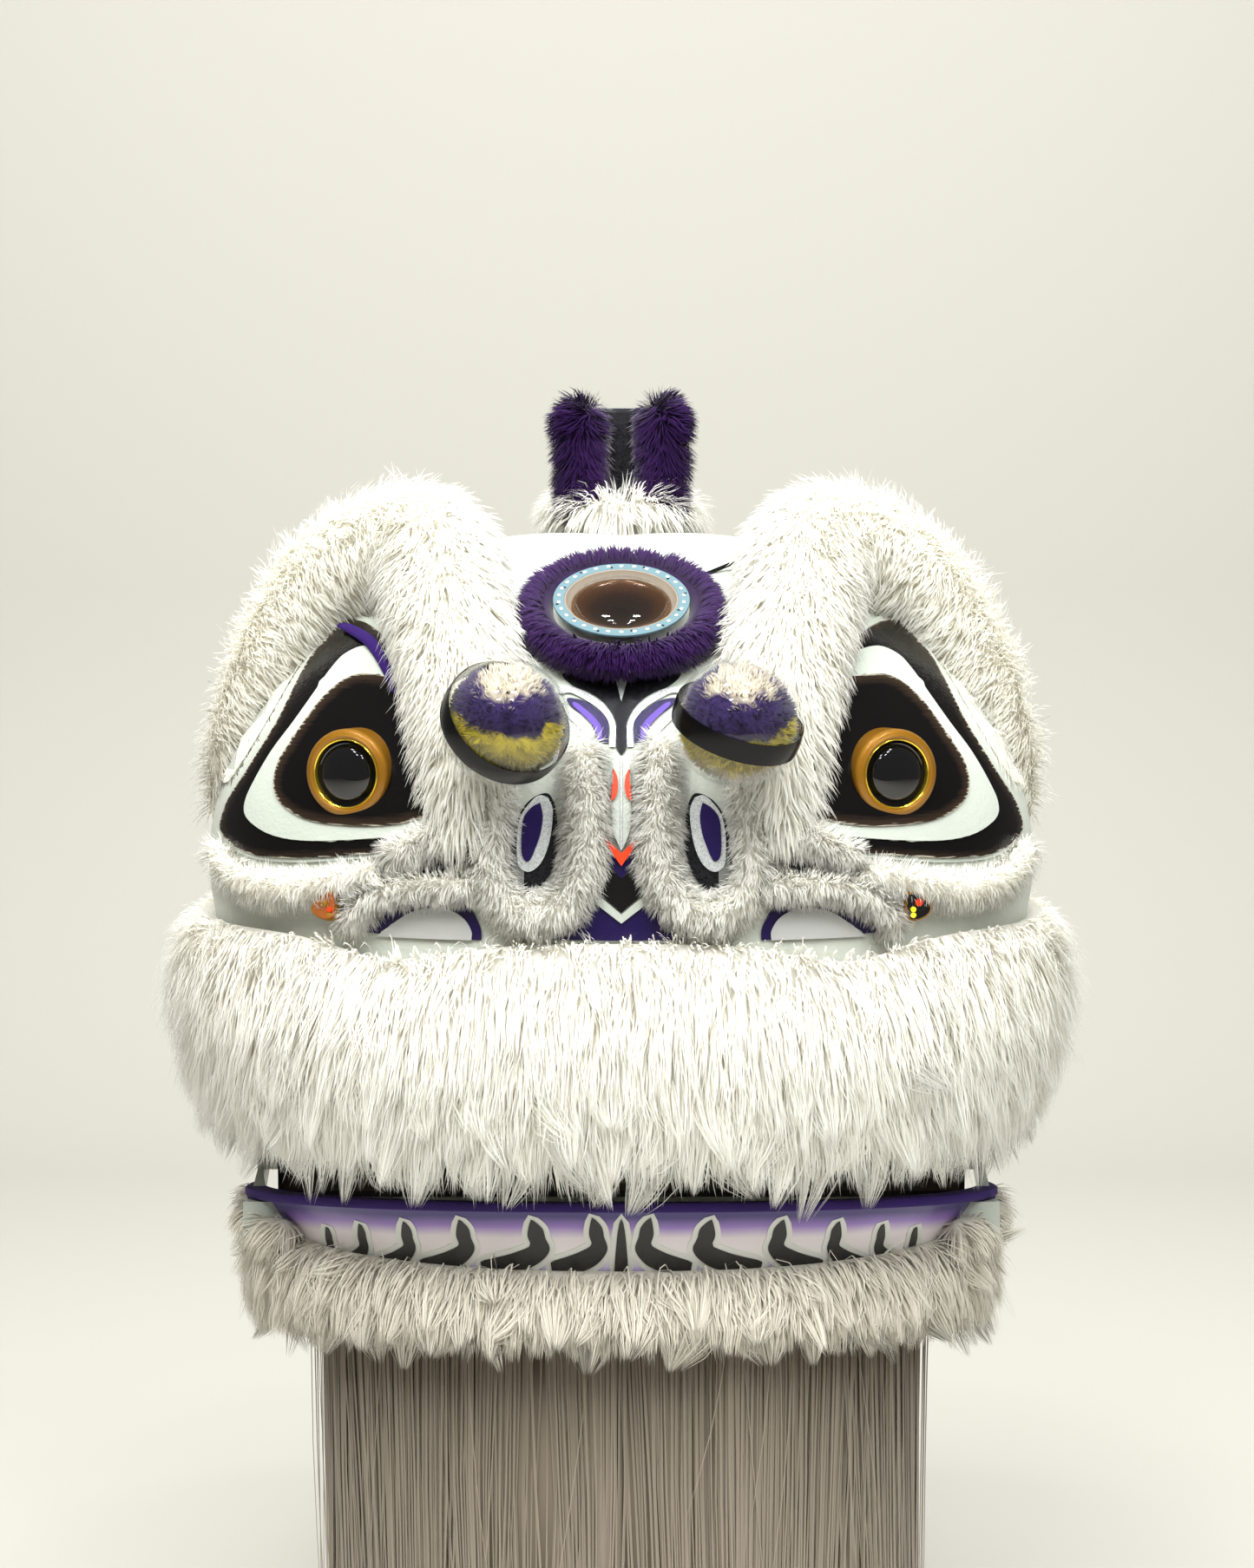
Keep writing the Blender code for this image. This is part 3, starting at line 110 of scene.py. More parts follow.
def furMaterial(name, rootColour, tipColour, seeThrough, roughness=0.75, sheen=0.3):
    # pile dyed in one bath; darker at the root as painted shade, where light is lost between the strands,
    # lighter at the tip
    mat, shader = newMaterial(name, Roughness=roughness, Sheen_Weight=sheen, Specular_IOR_Level=0.15)
    along = addNode(mat, "Attribute", {"attribute_name": "along"}).outputs["Fac"]
    shade = addNode(mat, "Attribute", {"attribute_name": "shade"}).outputs["Fac"]
    base = addNode(mat, "ValToRGB", None, {"Fac": along}, ((0.0, rootColour), (0.75, tipColour)))
    strength = addNode(mat, "MapRange", None, {"Value": shade, "To Min": 0.93, "To Max": 1.0})
    tinted = addNode(mat, "Mix", multiply, {"Factor": 1.0, "A": base.outputs["Color"],
                                            "B": strength.outputs["Result"]},
                     to=shader.inputs["Base Color"], output="Result")
    glow = addNode(mat, "BsdfTranslucent", None, {"Color": tinted.outputs["Result"]})
    addNode(mat, "MixShader", None, {0: seeThrough, 1: shader.outputs[0], 2: glow.outputs[0]},
            to=mat.node_tree.nodes["Material Output"].inputs["Surface"])
    return mat


whiteFur = furMaterial("whiteAcrylicPile", "#f3f0e6", "#fefdf8", 0.52)
browFurFinish = furMaterial("whiteAcrylicPlush", "#f3f0e4", "#fefdf7", 0.52)
violetFur = furMaterial("violetAcrylicPile", "#160424", "#2c0c46", 0.2)
# the jaw's fur is the same white pile, coloured greyer as painted shade where it hangs below the lip
jawShadedPile = furMaterial("whitePileWithPaintedShade", "#c9c4b7", "#e2ded2", 0.4, sheen=0.2)
beardHair = furMaterial("straightBeardHair", "#776d5f", "#a2988a", 0.25, roughness=0.5, sheen=0.15)


def paintedMaterial(name, colour, roughness, bumpHeight, grain=1.2, metallic=0.0, coat=0.0, spread=0.05):
    # brushed lacquer on papier-mache: slow shifts of tone, and a fine uneven skin of brush and paper
    mat, shader = newMaterial(name, Roughness=roughness, Metallic=metallic, Coat_Weight=coat,
                              Coat_Roughness=0.08)
    place = addNode(mat, "TexCoord").outputs["Object"]
    cloud = addNode(mat, "TexNoise", None, {"Vector": place, "Scale": 38.0, "Detail": 4.0})
    tone = addNode(mat, "MapRange", None,
                   {"Value": cloud.outputs["Fac"], "To Min": 1.0 - spread, "To Max": 1.0 + spread})
    addNode(mat, "Mix", multiply, {"Factor": 1.0, "A": toLinear(colour), "B": tone.outputs["Result"]},
            to=shader.inputs["Base Color"], output="Result")
    skin = addNode(mat, "TexNoise", None, {"Vector": place, "Scale": 1000.0 / (grain * 2.0), "Detail": 3.0})
    addNode(mat, "Bump", None, {"Height": skin.outputs["Fac"], "Distance": bumpHeight, "Strength": 0.6},
            to=shader.inputs["Normal"])
    return mat


# paint on paper and card: colour, roughness, then the height of its brush marks in metres
whitePaint = paintedMaterial("whiteGlossPaint", "#a6aca3", 0.32, 0.0006)
skullPaint = paintedMaterial("whiteLacqueredPaper", "#adb1a8", 0.4, 0.0008, grain=1.6)
blackLacquer = paintedMaterial("blackLacquer", "#0b0908", 0.16, 0.0012, grain=2.2, coat=0.5, spread=0.3)
flameBlack = paintedMaterial("satinBlackPaint", "#0d0c0b", 0.42, 0.0004, spread=0.2)
violetPaint = paintedMaterial("violetPaint", "#170a3c", 0.3, 0.0005)
lilacPaint = paintedMaterial("lilacPaint", "#4b2f8c", 0.35, 0.0004)
orangePaint = paintedMaterial("orangePaint", "#c2350c", 0.4, 0.0004)
amberPaint = paintedMaterial("amberPaint", "#8f4f22", 0.3, 0.0003)
yellowPaint = paintedMaterial("yellowPaint", "#e6d21e", 0.35, 0.0003)
# grey of the nostril's facet: painted light on the side face of the nose wing
facetLightPaint = paintedMaterial("greyPaintedLightOnFacet", "#6d6f6c", 0.25, 0.0003)
# paints with metal powder in them shine a little like the metal
goldPaint = paintedMaterial("darkGoldPaint", "#a9781f", 0.34, 0.0004, metallic=0.45, coat=0.2)
ringGold = paintedMaterial("agedGoldPaint", "#8a5e10", 0.36, 0.0003, metallic=0.45, coat=0.3, spread=0.14)
silverPaint = paintedMaterial("paleSilverPaint", "#b9bab8", 0.32, 0.0004, metallic=0.35)
flameSilver = paintedMaterial("dullSilverPaint", "#bfc0bb", 0.4, 0.0003, metallic=0.2)
silverRim = paintedMaterial("pearlSilverPaint", "#94897b", 0.3, 0.0002, metallic=0.3)
# felt is matt all over, and a solder mask is a smooth even film
violetFelt = paintedMaterial("violetFelt", "#260d52", 0.9, 0.0008, grain=0.8)
boardBlue = paintedMaterial("paleBlueSolderMask", "#587078", 0.4, 0.0002, coat=0.15, spread=0.03)
# moulded and drawn parts, with no pattern that shows at this size
blackDome = newMaterial("blackPolishedAcrylic", Base_Color=toLinear("#050506"), Roughness=0.04,
                        Coat_Weight=0.6)[0]
blackTape = newMaterial("blackVinylTape", Base_Color=toLinear("#040405"), Roughness=0.22,
                        Specular_IOR_Level=0.25)[0]
steelWire = newMaterial("springSteel", Base_Color=toLinear("#b8b8ba"), Roughness=0.3, Metallic=1.0)[0]
brightGold = newMaterial("brightGoldEdge", Base_Color=toLinear("#f2d24a"), Roughness=0.22, Metallic=0.9)[0]
chipWhite = newMaterial("ledPhosphor", Base_Color=toLinear("#f6f4d4"), Roughness=0.35)[0]
chipBlack = newMaterial("chipResistor", Base_Color=toLinear("#15171a"), Roughness=0.4)[0]


def glitterMaterial(name, light, dark, flake=0.6, metallic=0.45):
    # glitter gel: flakes about a millimetre across, each coloured lighter or darker, a painted glint of
    # flakes that lie their own way and catch the light
    mat, shader = newMaterial(name, Roughness=0.24, Metallic=metallic)
    place = addNode(mat, "TexCoord").outputs["Object"]
    flakes = addNode(mat, "TexVoronoi", None, {"Vector": place, "Scale": 1000.0 / flake})
    shine = addNode(mat, "SeparateColor", None, {"Color": flakes.outputs["Color"]})
    addNode(mat, "ValToRGB", None, {"Fac": shine.outputs[0]}, ((0.1, dark), (0.6, light)),
            shader.inputs["Base Color"])
    addNode(mat, "Bump", None, {"Height": shine.outputs[1], "Distance": 0.0005, "Strength": 0.5},
            to=shader.inputs["Normal"])
    return mat


silverGlitter = glitterMaterial("silverGlitterGel", "#d9dcdc", "#a9acae")
blackGlitter = glitterMaterial("blackGlitterGel", "#1c1b1f", "#060607", flake=1.1, metallic=0.1)

# The shell: one smooth surface around a centre, with named swellings
shell = {
    "centre": (0.0, 0.02, 0.16),
    "halfWidth": 0.262,
    "frontReach": 0.29,
    "backReach": 0.26,
    "rise": 0.3,
    "drop": 0.4,
    "squareness": 2.4,
    "wall": 0.003,
    # azimuth from the front, elevation, spread in degrees, height in metres
    "swellings": ((56.0, 54.0, 18.0, 0.0183), (62.0, 17.0, 16.0, 0.0445), (34.0, 2.0, 26.0, 0.0183)),
    "footZ": 0.0114,
    "mouthTopZ": 0.13,
    "mouthBackY": -0.074,
}
shellCentre = np.array(shell["centre"])
farthest = 0.7  # metres, beyond every point of the shell
halvings = 36  # brings a ray's end to the surface within a nanometre


def unit(v):
    return v / np.maximum(np.linalg.norm(v, axis=-1, keepdims=True), 1e-12)


def heading(azimuth, elevation):
    a, e = np.radians(azimuth), np.radians(elevation)
    return np.stack([np.sin(a) * np.cos(e), -np.cos(a) * np.cos(e), np.sin(e) * np.ones_like(a)], axis=-1)


def shellRadius(d):
    s, n = shell, shell["squareness"]
    reachY = np.where(d[..., 1] < 0, s["frontReach"], s["backReach"])
    reachZ = np.where(d[..., 2] > 0, s["rise"], s["drop"])
    total = ((np.abs(d[..., 0]) / s["halfWidth"]) ** n + (np.abs(d[..., 1]) / reachY) ** n
             + (np.abs(d[..., 2]) / reachZ) ** n)
    radius = total ** (-1.0 / n)
    folded = np.stack([np.abs(d[..., 0]), d[..., 1], d[..., 2]], axis=-1)
    for azimuth, elevation, spread, height in s["swellings"]:
        apart = np.degrees(np.arccos(np.clip(folded @ heading(np.array(azimuth), elevation), -1.0, 1.0)))
        radius = radius + height * np.exp(-0.5 * (apart / spread) ** 2)
    return radius


def aboveShell(p):
    offset = p - shellCentre
    return np.linalg.norm(offset, axis=-1) - shellRadius(unit(offset))


def shellNormal(p):
    step = 1e-4
    slope = [aboveShell(p + step * axis) - aboveShell(p - step * axis) for axis in np.eye(3)]
    return unit(np.stack(slope, axis=-1))


def leaveShell(start, way, lift=0.0):
    # where rays that start inside leave the surface raised by lift
    low = np.zeros(np.broadcast(start[..., 0], way[..., 0]).shape)
    high = low + farthest
    for _ in range(halvings):
        middle = (low + high) / 2
        outside = aboveShell(start + way * middle[..., None]) > lift
        high = np.where(outside, middle, high)
        low = np.where(outside, low, middle)
    return start + way * low[..., None]


def onFace(x, z, lift=0.0):
    x, z = np.broadcast_arrays(np.asarray(x, float), np.asarray(z, float))
    start = np.stack([x, np.full_like(x, shellCentre[1]), z], axis=-1)
    return leaveShell(start, np.array([0.0, -1.0, 0.0]), lift)


def aroundShell(azimuth, z, lift=0.0):
    azimuth, z = np.broadcast_arrays(np.asarray(azimuth, float), np.asarray(z, float))
    start = np.stack([np.zeros_like(z), np.full_like(z, shellCentre[1]), z], axis=-1)
    return leaveShell(start, heading(azimuth, 0.0), lift)


def around(count):
    return np.linspace(0, math.tau, count, endpoint=False)


def smoothPath(points, steps):
    # a Catmull-Rom curve through rows of numbers
    p = np.asarray(points, float)
    p = np.vstack([2 * p[0] - p[1], p, 2 * p[-1] - p[-2]])
    spans = len(p) - 3
    t = np.linspace(0, spans, steps + 1)
    k = np.minimum(t.astype(int), spans - 1)
    u = (t - k)[:, None]
    return blended(p[k], p[k + 1], p[k + 2], p[k + 3], u)


def blended(a, b, c, d, u):
    return 0.5 * (2 * b + (c - a) * u + (2 * a - 5 * b + 4 * c - d) * u**2 + (3 * b - a - 3 * c + d) * u**3)


# Mesh helpers
creaseAngle = 42.0  # degrees between faces from which an edge looks sharp


def addObject(name, bm, material, nodes=(), body="head"):
    bmesh.ops.recalc_face_normals(bm, faces=bm.faces)
    mesh = bpy.data.meshes.new(name)
    bm.to_mesh(mesh)
    bm.free()
    obj = bpy.data.objects.new(name, mesh)
    bpy.context.collection.objects.link(obj)
    mesh.materials.append(material)
    mesh.shade_smooth()
    mesh.set_sharp_from_angle(angle=math.radians(creaseAngle))
    declare(obj, body, nodes)
    return obj


def declare(obj, body, nodes):
    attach(obj, body)
    if nodes:
        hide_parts(*nodes)


def loft(rings, closed=False):
    # a skin over rings of points, each ring a circle whose vertices are moved into place
    bm = bmesh.new()
    made = []
    for ring in rings:
        verts = bmesh.ops.create_circle(bm, segments=len(ring), radius=1.0)["verts"]
        for vert, point in zip(verts, ring):
            vert.co = point
        made.append(verts)
    pairs = list(zip(made, made[1:])) + ([(made[-1], made[0])] if closed else [])
    for first, second in pairs:
        edges = {e for v in (*first, *second) for e in v.link_edges}
        loops = [e for e in edges if set(e.verts) <= set(first) or set(e.verts) <= set(second)]
        bmesh.ops.bridge_loops(bm, edges=loops)
    if not closed:
        for verts in (made[0], made[-1]):
            bmesh.ops.contextual_create(bm, geom=verts)
    bmesh.ops.recalc_face_normals(bm, faces=bm.faces)
    return bm


def tubeRings(path, radii, sides, outFrom, flat=1.0, closed=False, rounded=True):
    path, radii = np.asarray(path), np.asarray(radii)
    if closed:
        ahead = unit(np.roll(path, -1, axis=0) - np.roll(path, 1, axis=0))
    else:
        ahead = unit(np.gradient(path, axis=0))
    out = path - np.asarray(outFrom)
    out = unit(out - ahead * (out * ahead).sum(-1, keepdims=True))
    side = np.cross(ahead, out)
    turns = around(sides)
    wheel = out[:, None] * np.cos(turns)[:, None] * flat + side[:, None] * np.sin(turns)[:, None]
    rings = path[:, None] + wheel * radii[:, None, None]
    if rounded and not closed:
        head, tail = [], []
        for turn in (35.0, 65.0):
            c, s = math.cos(math.radians(turn)), math.sin(math.radians(turn))
            head.append(path[0] - ahead[0] * radii[0] * s + (rings[0] - path[0]) * c)
            tail.append(path[-1] + ahead[-1] * radii[-1] * s + (rings[-1] - path[-1]) * c)
        rings = np.concatenate([np.array(head[::-1]), rings, np.array(tail)])
    return rings


# Fur: tapered strands rooted on a pelt, gathered into locks


def samplePelt(bm, count, rng, keep=None, inOrder=False):
    copy = bm.copy()
    bmesh.ops.triangulate(copy, faces=copy.faces)
    copy.normal_update()
    copy.verts.ensure_lookup_table()
    place = np.array([v.co for v in copy.verts])
    normal = np.array([v.normal for v in copy.verts])
    tris = np.array([[v.index for v in f.verts] for f in copy.faces])
    copy.free()
    if inOrder:
        rank = np.argsort(np.lexsort(np.round(place, 6).T))
        first = rank[tris].argmin(axis=1)
        tris = np.take_along_axis(tris, (first[:, None] + np.arange(3)) % 3, axis=1)
        tris = tris[np.lexsort(rank[tris].T)]
    a, b, c = place[tris[:, 0]], place[tris[:, 1]], place[tris[:, 2]]
    area = np.linalg.norm(np.cross(b - a, c - a), axis=1)
    middle = (a + b + c) / 3
    facing = unit(normal[tris].sum(1))
    if keep is not None:
        area = area * keep(middle, facing)
    picked = rng.choice(len(tris), size=count, p=area / area.sum())
    u, v = rng.random(count), rng.random(count)
    u, v = np.where(u + v > 1, 1 - u, u), np.where(u + v > 1, 1 - v, v)
    w = np.stack([1 - u - v, u, v], axis=1)[:, :, None]
    return (place[tris[picked]] * w).sum(1), unit((normal[tris[picked]] * w).sum(1))


def growStrands(roots, normals, flow, length, s, rng):
    # s: lift, droop, frizz, clump, clumpSize, segments, width
    count, steps = len(roots), s["segments"]
    lift = np.clip(s["lift"] + rng.normal(0, 0.1, count), 0.0, 1.0)[:, None]
    way = unit(normals * lift + flow * (1 - lift) + rng.normal(0, s["frizz"], (count, 3)))
    droop = np.array([0.0, 0.0, -1.0]) * s["droop"]
    sway = rng.normal(0, s["frizz"] * 0.6, (count, 3))
    line = [roots]
    for _ in range(steps):
        way = unit(way + flow * s.get("bend", 0.25) + droop + sway / steps)
        line.append(line[-1] + way * (length / steps)[:, None])
    line = np.stack(line, axis=1)
    if s["clump"] > 0:
        leaders = rng.choice(count, size=max(2, int(count / s["clumpSize"])), replace=False)
        tree = KDTree(len(leaders))
        for i, k in enumerate(leaders):
            tree.insert(roots[k], i)
        tree.balance()
        nearest = leaders[[tree.find(root)[1] for root in roots]]
        pull = (np.linspace(0, 1, steps + 1) ** 1.4 * s["clump"])[None, :, None]
        offset = line[:, :1] - line[nearest][:, :1]
        line = line * (1 - pull) + (line[nearest] + offset * 0.12) * pull
    return line


def strandMesh(line, normals, width, shades, softness=0.92):
    # flat tapered ribbons that face out: points, triangles, values along, tones and shading normals
    count, steps = line.shape[0], line.shape[1] - 1
    way = unit(line[:, -1] - line[:, 0])
    radial = line[:, 0] * np.array([1.0, 1.0, 0.0]) - np.array([0.0, 0.02, 0.0])
    outward = unit(unit(radial) + normals * 0.8 + np.array([0.0, 0.0, 0.45]))
    side = unit(np.cross(way, outward))
    face = np.cross(side, way)
    taper = np.linspace(0, 1, steps + 1)[:-1]
    half = (1.0 - 0.75 * taper**1.6)[None, :, None] * width[:, None, None] / 2
    left = line[:, :-1] - side[:, None] * half
    right = line[:, :-1] + side[:, None] * half
    points = np.concatenate([np.stack([left, right], axis=2).reshape(count, 2 * steps, 3), line[:, -1:]],
                            axis=1)
    tris = []
    for k in range(steps - 1):
        tris += [(2 * k, 2 * k + 1, 2 * k + 3), (2 * k, 2 * k + 3, 2 * k + 2)]
    tris.append((2 * steps - 2, 2 * steps - 1, 2 * steps))
    each = 2 * steps + 1
    faces = (np.arange(count)[:, None, None] * each + np.array(tris)[None]).reshape(-1, 3)
    along = np.tile(np.append(np.repeat(taper, 2), 1.0), count)
    tone = np.repeat(shades, each)
    shading = unit(face * (1 - softness) + normals * softness)
    return points.reshape(-1, 3), faces, along, tone, np.repeat(shading, each, axis=0)


def furObject(name, pelt, strands, material, nodes, body="head", rootAlong=0.25):
    # joins a pelt and its strands in one mesh; the pelt takes a colour near the strands' root, painted shade
    # between them
    bmesh.ops.recalc_face_normals(pelt, faces=pelt.faces)
    bmesh.ops.triangulate(pelt, faces=pelt.faces)
    pelt.normal_update()
    pelt.verts.ensure_lookup_table()
    points = [np.array([v.co for v in pelt.verts])]
    faces = [np.array([[v.index for v in f.verts] for f in pelt.faces])]
    shading = [np.array([v.normal for v in pelt.verts])]
    along = [np.full(len(pelt.verts), rootAlong)]
    tone = [np.full(len(pelt.verts), 0.5)]
    pelt.free()
    for each in strands:
        faces.append(each[1] + sum(len(p) for p in points))
        points.append(each[0])
        along.append(each[2])
        tone.append(each[3])
        shading.append(each[4])
    points, faces = np.concatenate(points), np.concatenate(faces)
    mesh = bpy.data.meshes.new(name)
    mesh.vertices.add(len(points))
    mesh.vertices.foreach_set("co", points.ravel())
    mesh.loops.add(faces.size)
    mesh.loops.foreach_set("vertex_index", faces.ravel().astype(np.int32))
    mesh.polygons.add(len(faces))
    mesh.polygons.foreach_set("loop_start", np.arange(0, faces.size, 3, dtype=np.int32))
    mesh.update(calc_edges=True)
    mesh.validate()
    for key, values in (("along", along), ("shade", tone)):
        mesh.attributes.new(key, "FLOAT", "POINT").data.foreach_set("value", np.concatenate(values))
    mesh.shade_smooth()
    mesh.normals_split_custom_set_from_vertices(np.concatenate(shading).tolist())
    mesh.materials.append(material)
    obj = bpy.data.objects.new(name, mesh)
    bpy.context.collection.objects.link(obj)
    declare(obj, body, nodes)
    print(name, len(faces), "triangles")
    return obj


def furOn(pelt, s, seed, flowOf, keep=None, lengthOf=None):
    rng = np.random.default_rng(seed)
    roots, normals = samplePelt(pelt, many(s["count"]), rng, keep, s.get("inOrder", False))
    flow = flowOf(roots, normals)
    flow = unit(flow - normals * (flow * normals).sum(-1, keepdims=True) * 0.8)
    length = s["length"] * rng.uniform(0.7, 1.12, len(roots))
    if lengthOf is not None:
        length = length * lengthOf(roots, normals)
    line = growStrands(roots, normals, flow, length, s, rng)
    width = s["width"] * rng.uniform(0.7, 1.2, len(roots))
    return strandMesh(line, normals, width, rng.random(len(roots)))


def furPiece(name, pelt, s, seed, flowOf, material, nodes, keep=None, body="head"):
    furObject(name, pelt, [furOn(pelt, s, seed, flowOf, keep)], material, nodes, body)


def clearOfShell(middle, facing):
    return (aboveShell(middle) > 0.0005) & ((shellNormal(middle) * facing).sum(-1) > -0.35)


thin = 1.0  # fewer strands while trying things


def many(count):
    return int(count * thin)


sides = (("left", -1), ("right", 1))


def bothSides(make):
    for word, side in sides:
        make(word, side)


# Upper lip: long fur that hangs over the mouth
lipFur = {
    "sweep": 112.0,
    "section": ((0.0005, 0.194), (0.01, 0.197), (0.024, 0.184), (0.034, 0.16), (0.038, 0.128),
                (0.037, 0.098), (0.033, 0.074), (0.028, 0.064), (0.024, 0.07), (0.019, 0.1),
                (0.0005, 0.116)),
    "pieces": 3,
    "count": 10200,
    "length": 0.044, "width": 0.0015, "lift": 0.46, "droop": 0.26, "frizz": 0.19, "bend": 0.16,
    "clump": 0.45, "clumpSize": 14, "segments": 3,
    "locks": {"count": 2600, "length": 0.054, "width": 0.0011, "frizz": 0.26, "clump": 0.88,
              "clumpSize": 34, "segments": 4},
    "dip": (27.0, 9.0, 0.014),  # the top edge is lower below the cheeks: azimuth, spread, depth
}


def lipPelt(low, high, steps):
    rings = []
    for azimuth in np.linspace(low, high, steps):
        thinEnd = 1.0 - 0.8 * max(0.0, (abs(azimuth) - 80.0) / 32.0) ** 3
        lift = np.array([row[0] for row in lipFur["section"]]) * thinEnd
        z = np.array([row[1] for row in lipFur["section"]])
        middle, spread, depth = lipFur["dip"]
        fall = depth * math.exp(-(((abs(azimuth) - middle) / spread) ** 2))
        z = z - fall * np.clip((z - 0.13) / 0.06, 0.0, 1.0)
        rings.append(aroundShell(np.full(len(z), azimuth), z, lift))
    return loft(rings)


def lipFlow(p, n):
    # up and out at the top, down below the middle
    fall = np.clip((0.19 - p[:, 2]) / 0.05, 0.0, 1.0)
    flow = np.stack([p[:, 0] * 0.6, -0.12 - 0.7 * (1 - fall), -fall], axis=-1)
    return unit(flow)


def lipLength(p, n):
    low = np.clip((0.15 - p[:, 2]) / 0.08, 0.0, 1.0)
    high = np.clip((p[:, 2] - 0.165) / 0.03, 0.0, 1.0)
    return 1.0 - 0.06 * low - 0.58 * high


def makeLip():
    edges = np.linspace(-lipFur["sweep"], lipFur["sweep"], lipFur["pieces"] + 1)
    for i, word in enumerate(("left", "middle", "right")):
        pelt = lipPelt(edges[i], edges[i + 1], 26)

        def outer(middle, facing):
            outward = (shellNormal(middle) * facing).sum(-1) > -0.15
            return outward & (np.abs(facing[:, 2]) < 0.99) & (aboveShell(middle) > 0.006)

        def lower(middle, facing):
            return outer(middle, facing) & (middle[:, 2] < 0.125)

        hair = furOn(pelt, lipFur, 10 + i, lipFlow, outer, lipLength)
        locks = furOn(pelt, {**lipFur, **lipFur["locks"]}, 14 + i, lipFlow, lower)
        furObject(f"lipFur.{word}", pelt, [hair, locks], whiteFur, ["lip_fur"])


makeLip()

# Brows: thick plush arches over the eyes, as azimuth, elevation, lift and radius
browFur = {
    "path": ((20.5, 21.0, 0.002, 0.029), (22.0, 33.0, 0.0, 0.046), (30.0, 46.5, 0.009, 0.048),
             (46.0, 56.5, 0.02, 0.051), (63.5, 50.5, 0.02, 0.053), (70.5, 38.5, 0.007, 0.048),
             (73.0, 28.5, 0.002, 0.037), (75.0, 19.5, 0.001, 0.024)),
    "pile": 0.013,
    "count": 15000,
    "length": 0.026, "width": 0.0016, "lift": 0.5, "droop": 0.12, "frizz": 0.2, "bend": 0.14,
    "clump": 0.34, "clumpSize": 14, "segments": 3,
}


def makeBrow(word, side):
    rows = np.array(browFur["path"])
    way = heading(rows[:, 0] * side, rows[:, 1])
    spots = np.column_stack([shellCentre + way * (shellRadius(way) + rows[:, 2])[:, None], rows[:, 3]])
    path = smoothPath(spots, 34)
    pelt = loft(tubeRings(path[:, :3], path[:, 3] - browFur["pile"], 20, shellCentre))
    ahead = unit(np.gradient(path[:, :3], axis=0))

    def browFlow(p, n):
        nearest = np.argmin(((p[:, None] - path[None, :, :3]) ** 2).sum(-1), axis=1)
        return ahead[nearest] * -0.5 + np.array([0.0, 0.0, -0.5])

    furPiece(f"browFur.{word}", pelt, browFur, 20 + side, browFlow, browFurFinish,
             [f"brow_fur_{word}"], clearOfShell)


bothSides(makeBrow)

# Plush rolls on the face, as x, z and radius
plush = {"length": 0.0135, "width": 0.0009, "lift": 0.7, "droop": 0.04, "frizz": 0.26, "bend": 0.15,
         "clump": 0.4, "clumpSize": 16, "segments": 3}
faceRolls = {
    "nose_fur": {"lift": 0.006, "steps": 30, "count": 4500, "path": (
        (0.025, 0.322, 0.014), (0.0245, 0.288, 0.017), (0.0245, 0.252, 0.017), (0.034, 0.226, 0.016),
        (0.056, 0.214, 0.016), (0.079, 0.226, 0.015), (0.086, 0.254, 0.014), (0.081, 0.292, 0.012))},
    "cheek_fur_upper": {"lift": 0.005, "steps": 8, "count": 1600, "path": (
        (0.106, 0.272, 0.012), (0.126, 0.262, 0.0135), (0.15, 0.252, 0.012))},
    "cheek_fur_lower": {"lift": 0.005, "steps": 10, "count": 2000, "path": (
        (0.1, 0.2325, 0.01), (0.124, 0.2325, 0.0105), (0.148, 0.2295, 0.011), (0.168, 0.2215, 0.0115),
        (0.18, 0.208, 0.011))},
    "under_eye_fur": {"lift": 0.005, "steps": 14, "count": 2800, "path": (
        (0.166, 0.239, 0.0115), (0.196, 0.23, 0.013), (0.23, 0.225, 0.014), (0.262, 0.229, 0.014),
        (0.279, 0.243, 0.0125))},
}


def makeRoll(node, s, word, side, seed):
    rows = smoothPath(s["path"], s["steps"])
    path = onFace(rows[:, 0] * side, rows[:, 1], s["lift"])
    pelt = loft(tubeRings(path, rows[:, 2] * 0.62, 14, shellCentre))

    def rollFlow(p, n):
        return n * 0.2 + np.array([0.0, -0.3, -0.25])

    first, *others = node.split("_")
    name = first + "".join(part.title() for part in others)
    furPiece(f"{name}.{word}", pelt, {**plush, "count": s["count"]}, seed, rollFlow, whiteFur,
             [f"{node}_{word}"], clearOfShell)


for seed, (node, settings) in enumerate(faceRolls.items()):
    for word, side in sides:
        makeRoll(node, settings, word, side, 40 + 2 * seed + (side > 0))
print("face fur made")

# Ears: small tufts behind the brows
earFur = {"azimuth": 95.3, "z": 0.312, "standOff": 0.0224, "halfSize": (0.018, 0.034, 0.062),
          "turn": (8.0, -24.0, -30.0), "count": 1800, "length": 0.018, "width": 0.0014, "lift": 0.6,
          "droop": 0.15, "frizz": 0.22, "bend": 0.2, "clump": 0.5, "clumpSize": 20, "segments": 3,
          "inOrder": True}  # a sphere's faces come in any order, so they are sorted before strands are drawn


def makeEar(word, side):
    pelt = bmesh.new()
    bmesh.ops.create_uvsphere(pelt, u_segments=20, v_segments=12, radius=0.72)
    turn = Matrix.Identity(4)
    for angle, axis in zip(earFur["turn"], "XYZ"):
        turn = Matrix.Rotation(math.radians(angle), 4, axis) @ turn
    away = heading(np.array(earFur["azimuth"]), 0.0)
    seat = aroundShell(earFur["azimuth"], earFur["z"]) + away * earFur["standOff"]
    size = Matrix.Diagonal((*earFur["halfSize"], 1.0))
    place = Matrix.Diagonal((side, 1.0, 1.0, 1.0)) @ Matrix.Translation(seat) @ turn @ size
    bmesh.ops.transform(pelt, matrix=place, verts=pelt.verts)
    bmesh.ops.recalc_face_normals(pelt, faces=pelt.faces)

    def earFlow(p, n):
        return n * 0.2 + np.array([side * 0.3, 0.0, -0.8])

    furPiece(f"earFur.{word}", pelt, earFur, 60 + side, earFlow, whiteFur, [f"ear_{word}"],
             clearOfShell)


bothSides(makeEar)

